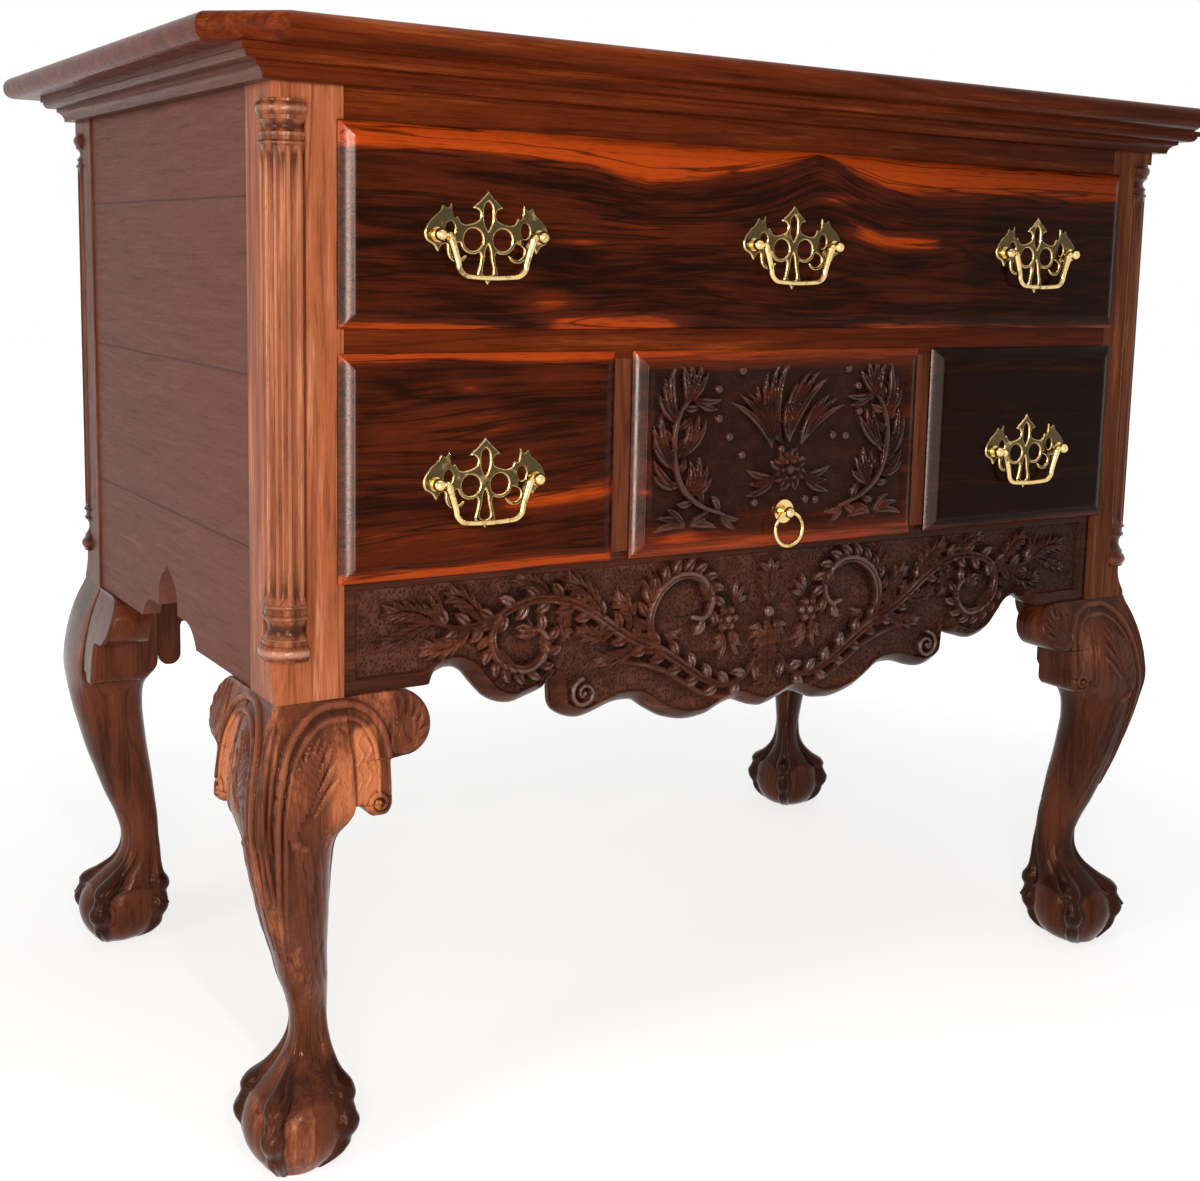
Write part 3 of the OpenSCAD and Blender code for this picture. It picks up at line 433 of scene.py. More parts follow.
def makeGrainGroup(look):
    # rosewood, grain along x: tone = warm + contrast (coarse streaks + fine streaks) picks the colour
    # from dark over middle to light; thin dark lines and pores cross it
    group, given, result = newGroup("rosewoodGrain", {
        "Vector": None, "Warm": 0.5, "Dark": (0.02, 0.006, 0.004, 1), "Middle": (0.12, 0.03, 0.012, 1),
        "Light": (0.4, 0.12, 0.03, 1), "Streaks": 85.0, "Warp": 0.01, "Contrast": 1.6, "Lines": 0.5,
    }, ("Color", "Gloss", "Height"))
    w = Wiring(group)
    ask = given.outputs
    broad = w.noise(w.vector("MULTIPLY", ask["Vector"], look["broadStretch"]), 1.0, 2.0)
    scaled = w.node("ShaderNodeVectorMath", operation="SCALE")
    w.join(w.vector("SUBTRACT", broad.outputs["Color"], (0.5, 0.5, 0.5)), scaled.inputs[0])
    w.join(ask["Warp"], scaled.inputs["Scale"])
    bent = w.vector("ADD", ask["Vector"], scaled.outputs[0])

    def streaks(stretch, scale, detail, roughness):
        # noise drawn out along x, from 0 to 1
        drawn = w.vector("MULTIPLY", bent, (look[stretch], 1.0, 1.0))
        return w.noise(drawn, scale, detail, roughness).outputs["Fac"]

    coarse = streaks("coarseStretch", ask["Streaks"], 4.0, 0.6)
    fine = streaks("fineStretch", look["fineScale"], 3.0, 0.6)
    lines = streaks("lineStretch", w.times(ask["Streaks"], look["lineShare"]), 2.0, 0.5)
    line = w.minus(1.0, w.span(w.math("ABSOLUTE", w.minus(lines, 0.5)), 0.0, look["lineHalf"]))
    spread = w.plus(w.minus(coarse, 0.5), w.times(w.minus(fine, 0.5), look["fineShare"]))
    tone = w.plus(ask["Warm"], w.times(spread, ask["Contrast"]))
    lower = w.mix(w.span(tone, 0.0, 0.5), ask["Dark"], ask["Middle"])
    color = w.mix(w.span(tone, 0.5, 1.0), lower, ask["Light"])
    color = w.mix(w.times(line, ask["Lines"]), color, ask["Dark"])
    pore = w.span(streaks("poreStretch", look["poreScale"], 1.0, 0.5), *look["pore"])
    w.join(w.mix(w.times(pore, look["poreDepth"]), color, ask["Dark"]), result.inputs["Color"])
    w.join(w.minus(fine, w.times(pore, look["poreDepth"])), result.inputs["Gloss"])
    w.join(w.minus(w.times(fine, 0.5), pore), result.inputs["Height"])
    return group


hollowLook = {
    # spans: from, to and, where given, what they become; deep and high turn Shade into painted shade and a
    # painted highlight
    "dots": (0.2, 0.6), "ground": (0.05, 0.3), "dust": (0.3, 0.7, 0.15, 0.75),
    "deep": (0.5, 0.08, 0.0, 0.92), "high": (0.56, 1.0, 0.0, 0.5), "rough": (0.3, 0.7, 0.13, 0.25),
    "blotchScale": 90.0, "groundRough": 0.2,
}


def makeHollowGroup(look):
    # carved work: Shade paints shade into the hollows with the Hollow colour and a highlight onto the crests
    # with the
    # Crest colour; Relief is 0 in the stippled ground and 1 on the carving; Sunk darkens the whole ground;
    # dust lies in the dots of the stipple
    group, given, result = newGroup("carvedHollows", {
        "Vector": None, "Color": (0.2, 0.06, 0.03, 1), "Hollow": (0.02, 0.008, 0.006, 1),
        "Crest": (0.3, 0.15, 0.1, 1), "Dust": (0.25, 0.12, 0.09, 1),
        "Relief": 0.0, "Shade": 0.5, "Stipple": 700.0, "Sunk": 0.0,
    }, ("Color", "Rough", "Height"))
    w = Wiring(group)
    ask = given.outputs
    cells = w.node("ShaderNodeTexVoronoi", feature="F1")
    w.join(ask["Vector"], cells.inputs["Vector"])
    w.join(ask["Stipple"], cells.inputs["Scale"])
    dots = w.span(cells.outputs["Distance"], *look["dots"])
    ground = w.minus(1.0, w.span(ask["Relief"], *look["ground"]))
    blotch = w.noise(ask["Vector"], look["blotchScale"], 4.0).outputs["Fac"]
    dusty = w.times(w.times(ground, dots), w.span(blotch, *look["dust"]))
    floor = w.mix(w.times(ground, ask["Sunk"]), ask["Color"], ask["Hollow"])
    base = w.mix(dusty, floor, ask["Dust"])
    # painted shade in the hollows and a painted highlight on the crests
    deep = w.span(ask["Shade"], *look["deep"])
    high = w.span(ask["Shade"], *look["high"])
    w.join(w.mix(high, w.mix(deep, base, ask["Hollow"]), ask["Crest"]), result.inputs["Color"])
    rough = w.plus(w.times(ground, look["groundRough"]), w.span(blotch, *look["rough"]))
    w.join(rough, result.inputs["Rough"])
    w.join(w.times(ground, dots), result.inputs["Height"])
    return group


grainGroup = makeGrainGroup(grainLook)
hollowGroup = makeHollowGroup(hollowLook)


# what every wood has, where its own look says nothing else; shine is the tint of mirrored light, and
# roughMore and roughLess are what the grain adds to the roughness and takes from it
plainLook = {
    "roughMore": 0.08, "roughLess": 0.03, "grainOnCarving": 0.3,
    "turn": (0, 0, 0), "warm": 0.5, "stipple": 700.0, "sunk": 0.0, "bump": 0.00008, "specular": 0.06,
    "shine": (1, 0.6, 0.42), "polishedShine": (1, 0.93, 0.9, 1), "bumpStrength": 0.6,
    "jointWidth": 0.014, "jointShare": 0.55, "jointDepth": 3.0, "jointColor": (0.03, 0.016, 0.014, 1),
}


def woodMaterial(name, ownLook):
    # grain, then joints, painted shade and highlight on carving, a painted shade that darkens along x, and
    # polish where the look asks for them; "figure", "warm", "relief", "shade" and the polish field are the
    # piece's own fields
    look = {**plainLook, **ownLook}
    material = bpy.data.materials.new(name)
    material.use_nodes = True
    tree = material.node_tree
    w = Wiring(tree)
    shader = tree.nodes["Principled BSDF"]
    place = w.node("ShaderNodeTexCoord").outputs["Object"]
    mapping = w.node("ShaderNodeMapping")
    mapping.inputs["Rotation"].default_value = look["turn"]
    w.join(w.field("figure", "Vector") if look.get("figure") else place, mapping.inputs["Vector"])
    grain = w.node("ShaderNodeGroup", node_tree=grainGroup)
    w.join(mapping.outputs[0], grain.inputs["Vector"])
    for socket in ("Dark", "Middle", "Light"):
        grain.inputs[socket].default_value = (*look[socket.lower()], 1)
    for socket in ("Streaks", "Contrast", "Lines"):
        if socket.lower() in look:
            grain.inputs[socket].default_value = look[socket.lower()]
    w.feed(grain.inputs["Warm"], w.field("warm") if look.get("fields") else look["warm"])
    color, height = grain.outputs["Color"], grain.outputs["Height"]
    rough = w.span(grain.outputs["Gloss"], 0.2, 0.7, look["rough"] + look["roughMore"],
                   look["rough"] - look["roughLess"])
    if look.get("boards"):
        # fine dark joints between horizontal boards; boards: the height of one joint, and a board's width
        jointZ, boardWidth = look["boards"]
        parts = w.node("ShaderNodeSeparateXYZ")
        w.join(place, parts.inputs[0])
        saw = w.math("FRACT", w.plus(w.math("DIVIDE", w.minus(parts.outputs["Z"], jointZ), boardWidth), 20.5))
        joint = w.minus(1.0, w.span(w.math("ABSOLUTE", w.minus(saw, 0.5)), 0.0, look["jointWidth"]))
        color = w.mix(w.times(joint, look["jointShare"]), color, look["jointColor"])
        height = w.minus(height, w.times(joint, look["jointDepth"]))
    if look.get("carved"):
        hollows = w.node("ShaderNodeGroup", node_tree=hollowGroup)
        w.join(place, hollows.inputs["Vector"])
        w.join(color, hollows.inputs["Color"])
        for field in ("Relief", "Shade"):
            w.join(w.field(field.lower()), hollows.inputs[field])
        for socket in ("Hollow", "Crest", "Dust"):
            hollows.inputs[socket].default_value = (*look[socket.lower()], 1)
        hollows.inputs["Stipple"].default_value = look["stipple"]
        hollows.inputs["Sunk"].default_value = look["sunk"]
        color, rough = hollows.outputs["Color"], hollows.outputs["Rough"]
        stipple = w.times(hollows.outputs["Height"], look["stippleDepth"])
        height = w.plus(w.times(height, look["grainOnCarving"]), stipple)
    if look.get("fade"):
        # painted shade: the wood darkens along x, where the light falls off towards +x
        parts = w.node("ShaderNodeSeparateXYZ")
        w.join(place, parts.inputs[0])
        low, high, least = look["fade"]
        color = w.mix(1.0, color, w.span(parts.outputs["X"], low, high, 1.0, least), "MULTIPLY")
    w.join(color, shader.inputs["Base Color"])
    w.join(rough, shader.inputs["Roughness"])
    bump = w.node("ShaderNodeBump")
    bump.inputs["Strength"].default_value = look["bumpStrength"]
    bump.inputs["Distance"].default_value = look["bump"]
    w.join(height, bump.inputs["Height"])
    w.join(bump.outputs[0], shader.inputs["Normal"])
    if look.get("polishAndSheen"):
        # polished parts mirror more light, and whiter light; on the drawer lips' left sides this is a painted
        # sheen
        fieldName, low, high, most = look["polishAndSheen"]
        gloss = w.span(w.field(fieldName), low, high)
        w.join(w.span(gloss, 0.0, 1.0, look["specular"], most), shader.inputs["Specular IOR Level"])
        w.join(w.mix(gloss, (*look["shine"], 1), look["polishedShine"]), shader.inputs["Specular Tint"])
    else:
        shader.inputs["Specular IOR Level"].default_value = look["specular"]
        shader.inputs["Specular Tint"].default_value = (*look["shine"], 1)
    return material


def brassMaterial(name, look):
    # polished brass: warm metal under dark patches, partly a thin brown film and partly painted dark
    # reflections;
    # with "rim" the piece's own field keeps its edges bright, partly worn polish and partly a painted
    # highlight
    material = bpy.data.materials.new(name)
    material.use_nodes = True
    w = Wiring(material.node_tree)
    shader = material.node_tree.nodes["Principled BSDF"]
    place = w.node("ShaderNodeTexCoord").outputs["Object"]
    tarnishAndReflection = w.noise(place, look["filmScale"], 4.0, 0.6).outputs["Fac"]
    patch = w.times(w.span(tarnishAndReflection, look["filmFrom"], look["filmTo"]), look["filmShare"])
    if look.get("rim"):
        patch = w.times(patch, w.minus(1.0, w.field("rim")))
    w.join(w.mix(patch, (*look["bright"], 1), (*look["tarnishAndReflection"], 1)), shader.inputs["Base Color"])
    w.join(w.span(tarnishAndReflection, 0.35, 0.75, look["rough"], look["filmRough"]), shader.inputs["Roughness"])
    shader.inputs["Metallic"].default_value = 1.0
    bump = w.node("ShaderNodeBump")
    bump.inputs["Strength"].default_value = look["bumpStrength"]
    bump.inputs["Distance"].default_value = look["bump"]
    w.join(w.noise(place, look["castScale"], 2.0).outputs["Fac"], bump.inputs["Height"])
    w.join(bump.outputs[0], shader.inputs["Normal"])
    return material


alongX = (0, 0, 0)
alongZ = (0, math.radians(90), 0)
alongY = (0, 0, math.radians(90))


def tones(dark, middle, light, rough, **more):
    # the three colours between which a wood's streaks run, and its roughness
    return {"dark": dark, "middle": middle, "light": light, "rough": rough, **more}


# fade: a painted shade that darkens the wood towards +x, where the light falls off
caseTones = tones((0.03, 0.005, 0.0015), (0.13, 0.02, 0.0045), (0.3, 0.06, 0.012), 0.26,
                  fade=(-0.15, 0.42, 0.55))
deepTones = tones((0.055, 0.018, 0.01), (0.13, 0.044, 0.026), (0.21, 0.078, 0.048), 0.3)
uprightTones = tones((0.05, 0.012, 0.005), (0.17, 0.046, 0.019), (0.32, 0.1, 0.045), 0.26)
# the post tones and the darker tones below them are lit and shaded copies of one wood: painted light and
# shade
postTones = tones((0.12, 0.03, 0.012), (0.41, 0.115, 0.046), (0.68, 0.27, 0.13), 0.26)
shadedTones = tones((0.04, 0.0095, 0.004), (0.125, 0.033, 0.013), (0.29, 0.09, 0.038), 0.26)
turnedTones = tones((0.09, 0.022, 0.009), (0.33, 0.095, 0.039), (0.6, 0.22, 0.105), 0.24)
frontTones = tones((0.01, 0.0026, 0.0012), (0.085, 0.013, 0.004), (0.46, 0.058, 0.006), 0.2)
apronTones = tones((0.02, 0.0055, 0.003), (0.062, 0.016, 0.008), (0.15, 0.042, 0.017), 0.3)
legTones = tones((0.034, 0.0085, 0.0045), (0.145, 0.038, 0.0175), (0.58, 0.18, 0.07), 0.24)
panelTones = tones((0.115, 0.04, 0.027), (0.18, 0.068, 0.047), (0.25, 0.095, 0.064), 0.36)
plainTones = tones((0.34, 0.18, 0.085), (0.46, 0.27, 0.135), (0.55, 0.35, 0.19), 0.55, lines=0.05)
# hollow and crest are the colours of painted shade and a painted highlight on carved and turned work; fade is
# a painted shade towards +x
woodLooks = {
    "caseAcross": {**caseTones, "turn": alongX},
    "caseUpright": {**uprightTones, "turn": alongZ},
    "caseDeep": {**deepTones, "turn": alongY},
    "postLit": {**postTones, "turn": alongZ, "streaks": 110.0},
    "postShaded": {**shadedTones, "turn": alongZ, "streaks": 110.0},
    "turnedLit": {
        **turnedTones, "turn": alongZ, "streaks": 120.0, "fields": True, "carved": True,
        "hollow": (0.035, 0.008, 0.004), "crest": (0.85, 0.42, 0.24), "dust": (0.1, 0.03, 0.015),
        "stippleDepth": 0.0, "specular": 0.25, "polishAndSheen": ("shade", 0.5, 0.9, 0.5)},
    "turnedShaded": {
        **shadedTones, "turn": alongZ, "fields": True, "carved": True,
        "hollow": (0.03, 0.007, 0.004), "crest": (0.34, 0.12, 0.06), "dust": (0.1, 0.03, 0.015),
        "stippleDepth": 0.0, "specular": 0.2},
    "figuredFront": {
        **frontTones, "figure": True, "fields": True, "contrast": 1.05, "streaks": 190.0, "lines": 0.75,
        "specular": 0.06, "bump": 0.00003, "polishAndSheen": ("polishAndSheen", 0.0, 1.0, 0.8), "fade": (0.0, 0.36, 0.6)},
    "carvedFront": {
        **frontTones, "figure": True, "fields": True, "contrast": 1.0, "carved": True,
        "hollow": (0.007, 0.0022, 0.0014), "crest": (0.085, 0.03, 0.019), "dust": (0.04, 0.013, 0.008),
        "stippleDepth": 0.5, "bump": 0.00004, "specular": 0.1, "sunk": 0.62,
        "polishAndSheen": ("polishAndSheen", 0.0, 1.0, 0.8)},
    "carvedApron": {
        **apronTones, "turn": alongX, "carved": True,
        "hollow": (0.005, 0.0014, 0.001), "crest": (0.14, 0.048, 0.03), "dust": (0.13, 0.048, 0.033),
        "bump": 0.0006, "stipple": 400.0, "stippleDepth": 1.8, "sunk": 0.3, "specular": 0.12,
        "polishAndSheen": ("shade", 0.66, 0.92, 0.7), "fade": (-0.1, 0.34, 0.4)},
    "carvedLeg": {
        **legTones, "turn": alongZ, "fields": True, "contrast": 1.0, "carved": True,
        "hollow": (0.04, 0.01, 0.005), "crest": (0.28, 0.09, 0.044), "dust": (0.1, 0.035, 0.02),
        "stippleDepth": 0.0, "specular": 0.16, "fade": (0.1, 0.42, 0.75)},
    "panelBoards": {
        **panelTones, "turn": alongY, "boards": (0.425, 0.1155), "contrast": 1.2, "lines": 0.1,
        "streaks": 150.0, "specular": 0.02},
    "plainAcross": {**plainTones, "turn": alongX},
    "plainDeep": {**plainTones, "turn": alongY},
}
woods = {woodName: woodMaterial(woodName, look) for woodName, look in woodLooks.items()}
brassTones = {"bright": (0.8, 0.57, 0.24), "rough": 0.1, "filmRough": 0.26, "filmShare": 0.92,
              "bump": 0.0002, "bumpStrength": 0.35, "castScale": 420.0}
brassLooks = {
    "polishedBrass": {
        **brassTones, "tarnishAndReflection": (0.075, 0.05, 0.02), "filmScale": 120.0, "filmFrom": 0.5, "filmTo": 0.72},
    # dark patches over most of the plate: partly tarnish, partly painted dark reflections
    "plateBrass": {
        **brassTones, "tarnishAndReflection": (0.022, 0.015, 0.007), "filmScale": 90.0, "filmFrom": 0.16, "filmTo": 0.46,
        "rim": True},
}
brass, plateBrass = (brassMaterial(brassName, look) for brassName, look in brassLooks.items())
print("materials made:", len(woods) + len(brassLooks))

# the construction's own pieces that stay, each with its wood or brass
drawerNames = ("upper", "left", "middle", "right")
kept = {
    "caseAcross": ["top", "cornice_front", "top_rail", "mid_rail"],
    "caseDeep": ["cornice_left", "cornice_right"],
    "caseUpright": ["divider_left", "divider_right"],
    "panelBoards": ["side_panel_left", "side_panel_right"],
    "plainAcross": ["back_panel", "back_rail"] + [drawerName + "_drawer_" + part
                                                  for part in ("back", "bottom")
                                                  for drawerName in drawerNames],
    "plainDeep": ["upper_runners", "lower_side_runners", "lower_centre_runners", "kicker_rails",
                  "glue_blocks"]
                 + [drawerName + "_drawer_sides" for drawerName in drawerNames],
    "polishedBrass": ["upper_posts", "left_posts", "right_posts", "ring_post", "ring"],
}
finishes = {**woods, "polishedBrass": brass}
for finishName, names in kept.items():
    for nodeName in names:
        nodes[nodeName].data.materials.clear()
        nodes[nodeName].data.materials.append(finishes[finishName])


def toCorner(points, sideX, sideY):
    # a piece drawn at the corner of a post, its post towards +x and +y, is set or mirrored into place
    placed = np.array(points, float)
    placed[..., 0] = sideX * (caseSize["halfWidth"] - placed[..., 0])
    placed[..., 1] = (caseSize["frontY"] + placed[..., 1] if sideY < 0
                      else caseSize["backY"] - placed[..., 1])
    return placed


corners = {"front_left": (-1, -1), "front_right": (1, -1), "back_left": (-1, 1), "back_right": (1, 1)}
litCorner = "front_left"  # this corner is the palest: it gets the lit copy of the wood, the other corners a darker, shaded copy, as painted light and shade

# posts: square above the knee, rebated for the quarter columns, with a lamb's tongue below them
postLook = {
    "rebate": 22.0, "columnLow": 357.0, "columnHigh": 715.0, "ease": 0.9,
    "tongueHigh": 353.0, "tongueLow": 333.0, "tongueCut": 9.0,
}


def postRings(look):
    # each ring: the square post's outline with its outer corner cut by c and drawn in to m along the diagonal
    w, e = caseSize["postWidth"], look["ease"]
    levels = [(caseSize["kneeLine"], e, 0.3)]
    for t in np.linspace(0, 1, 9):
        cut = e + (look["tongueCut"] - e) * math.sin(t * math.pi / 2)
        levels.append((look["tongueLow"] + (look["tongueHigh"] - look["tongueLow"]) * t, cut, cut * 0.5))
    levels += [(look["columnLow"], look["tongueCut"], look["tongueCut"] * 0.5),
               (look["columnLow"] + 0.01, look["rebate"], look["rebate"]),
               (look["columnHigh"] - 0.01, look["rebate"], look["rebate"]),
               (look["columnHigh"], e, 0.3), (caseSize["underTop"], e, 0.3)]
    rings = []
    for z, c, m in levels:
        outline = [(c, 0), (w - e, 0), (w, e), (w, w - e), (w - e, w), (e, w), (0, w - e), (0, c),
                   (m * 0.7, (c + m) / 2), (m, m), ((c + m) / 2, m * 0.7)]
        if c == look["rebate"]:
            outline[8], outline[10] = (c / 2, c), (c, c / 2)
        rings.append([(x, y, z) for x, y in outline])
    return np.array(rings)


postShape = postRings(postLook)
for cornerName, (sideX, sideY) in corners.items():
    # the lit copy of the wood at the front left, the shaded copy elsewhere: painted light and shade
    postWood = woods["postLit" if cornerName == litCorner else "postShaded"]
    loftPiece("post_" + cornerName, toCorner(postShape, sideX, sideY), "case", "carved_wood", postWood,
              stands=("leg_" + cornerName,), sharp=30)
print("posts made")

# legs: sections along the leg are half ovals drawn towards or past a square
legLook = {
    # rings up the leg and points round it; the foot takes footRows of the rings
    "fineMesh": (384, 256), "plainMesh": (280, 180), "footRows": 120, "footTop": 105,
    # painted light and shade: each corner's leg gets its own tone, palest at the front left
    "tone": {"front_left": 0.5, "front_right": 0.24, "back_left": 0.34, "back_right": 0.24},
    # height, middle and half length along the diagonal, half width, squareness outside and inside
    "sections": [
        (0, 24, 22, 21, 2, 2), (4, 26.5, 27.5, 26, 2, 2), (12, 27.8, 33.5, 32, 2, 2),
        (22, 28, 36.8, 35.5, 2, 2), (34, 28.3, 38.6, 37, 2, 2), (45, 29.8, 36, 34.5, 2, 2),
        (55, 33, 30.5, 28, 2, 2), (64, 38.2, 25, 21, 1.95, 2), (73, 43.5, 20.5, 16, 1.9, 2),
        (84, 47, 18, 12.8, 1.8, 2), (98, 47.5, 17.5, 12.5, 1.7, 2), (115, 44.5, 19.5, 14, 1.7, 2),
        (135, 38, 23, 17, 1.7, 2), (155, 32, 26, 20, 1.6, 2), (175, 26, 28, 23.5, 1.6, 2),
        (195, 21, 30, 26, 1.5, 2), (215, 17, 32, 28.5, 1.5, 2), (235, 16, 36, 33, 1.4, 1.8)],
    "kneeOut": 17.0, "kneeLow": 250.0, "blockLow": 255.0,
    "ballRadius": 36.6, "ballZ": 31.0, "webHigh": 52.0, "webLow": 34.0, "webSoft": 0.9,
    "carvedFrom": 118, "carvedWhole": 130, "sunk": 1.0, "shadeReach": 5, "shadeDepth": 2.6,
    # the deeper ground between the carvings: it starts and is whole at these heights, ends this far under
    # the knee line, and goes this far round
    "deepFrom": 120, "deepWhole": 150, "deepUnder": 6, "deepRound": 60,
    # the nail's groove: its share of the ridge, half width and height
    "nailShare": 0.35, "nailWide": 1.3, "nailHigh": 16,
    "creaseWide": 1.6, "creaseShare": 0.8, "webCreaseWide": 1.5, "webCreaseShare": 0.6, "creaseShade": 0.4,
    "waveWarm": 0.12, "waveHigh": 23,
    "insideWarm": 0.28, "ankleDark": 0.14, "ballWarm": 0.24, "clawDark": 0.28,
    # height, ridge above the ball, half width of a claw
    "claw": [(0, 3.2, 4.6), (6, 5.2, 5.6), (14, 6.4, 6.4), (21, 5.6, 6.0), (28, 8.6, 8.0), (34, 9.4, 8.6),
             (40, 7.0, 7.0), (45, 6.8, 6.8), (51, 10.8, 8.6), (56, 11.2, 8.8), (62, 7.6, 6.8),
             (70, 5.0, 5.2), (80, 3.0, 4.2), (92, 1.4, 3.4), (104, 0, 3)],
}


def kneeFace(z, look):
    # the knee's face stands out along an arc that is flush with the post at the knee line
    rise = caseSize["kneeLine"] - look["kneeLow"]
    radius = (look["kneeOut"] ** 2 + rise ** 2) / (2 * look["kneeOut"])
    return radius - look["kneeOut"] - np.sqrt(radius ** 2 - (z - look["kneeLow"]) ** 2)


def legSections(z, look):
    # middle, half length, half width and squareness at each height: the table's, then the knee's, whose face
    # stands out from the post's corner along the diagonal
    diagonal = caseSize["postWidth"] * math.sqrt(2)
    knee = []
    for height in np.linspace(look["blockLow"], caseSize["kneeLine"], 6):
        out = -kneeFace(height, look) * math.sqrt(2)
        knee.append((height, (diagonal - out) / 2, (diagonal + out) / 2, (diagonal + out) / 2,
                     1 + 0.2 * (caseSize["kneeLine"] - height) / (caseSize["kneeLine"] - look["kneeLow"]), 1))
    return smoothTable(list(look["sections"]) + knee, z)


def carveLeg(relief):
    # s is the distance round the leg from its outer edge, z the height: a C-scroll, leaves inside it,
    # husks below
    relief.ridge([(2.5, 150), (4, 178), (6.5, 205), (9, 230), (11, 255), (12.5, 282), (15, 303), (22.5, 317),
                  (34, 324.5), (52, 325)],
                 [1.0, 1.9, 2.6, 2.8, 2.6], [0.8, 1.8, 2.8, 2.8, 2.4])
    relief.ridge([(6.5, 158), (9.5, 190), (13, 220), (16, 248), (18.5, 276), (21, 295), (28, 308),
                  (38, 315.5), (52, 316)],
                 [0.8, 1.5, 2.0, 2.0], [0.6, 1.5, 2.2, 1.9])
    leaf = (((20, 236), (25, 298), 3.2), ((22, 242), (30, 304), 3.2), ((25, 250), (36, 308), 3.0),
            ((28, 256), (42, 309), 2.8), ((31, 260), (48, 305), 2.6), ((34, 260), (52, 293), 2.4),
            ((36, 256), (54, 280), 2.4))
    for root, tip, width in leaf:
        relief.blade(root, tip, 0.07, width, 2.5, 0.4)
    # husks: drooping blades that overlap down the shin
    for k in range(7):
        z, wide, high = 244 - 18 * k, 3.4 - 0.2 * k, 1.5 - 0.12 * k
        relief.blade((23.5 - 0.9 * k, z), (21 - 0.9 * k, z - 27), 0.1, wide, high, 0.3)
        relief.blade((30 - 0.9 * k, z - 7), (31.5 - 0.9 * k, z - 35), -0.1, wide, high, 0.3)
        relief.blade((38 - 1.1 * k, z - 12), (39 - 1.1 * k, z - 38), -0.12, 2.8 - 0.2 * k, 1.2 - 0.1 * k, 0.3)
    relief.ridge([(2.2, 326), (1.2, 300), (1.2, 262), (2, 225), (3, 196)], [1.6, 2.2, 1.6], [1.2, 2.0, 1.4])
    relief.ridge([(7, 322), (6.2, 296), (5.6, 262), (5, 236)], [1.0, 1.7, 1.2], [0.8, 1.6, 1.0])
    relief.groove([(9.6, 318), (9.2, 296), (8.2, 262), (7.6, 240)], 0.8, 0.7)
    relief.boss((22, 240), 3.6, 2.6)
    relief.boss((27, 236), 3.0, 2.2)


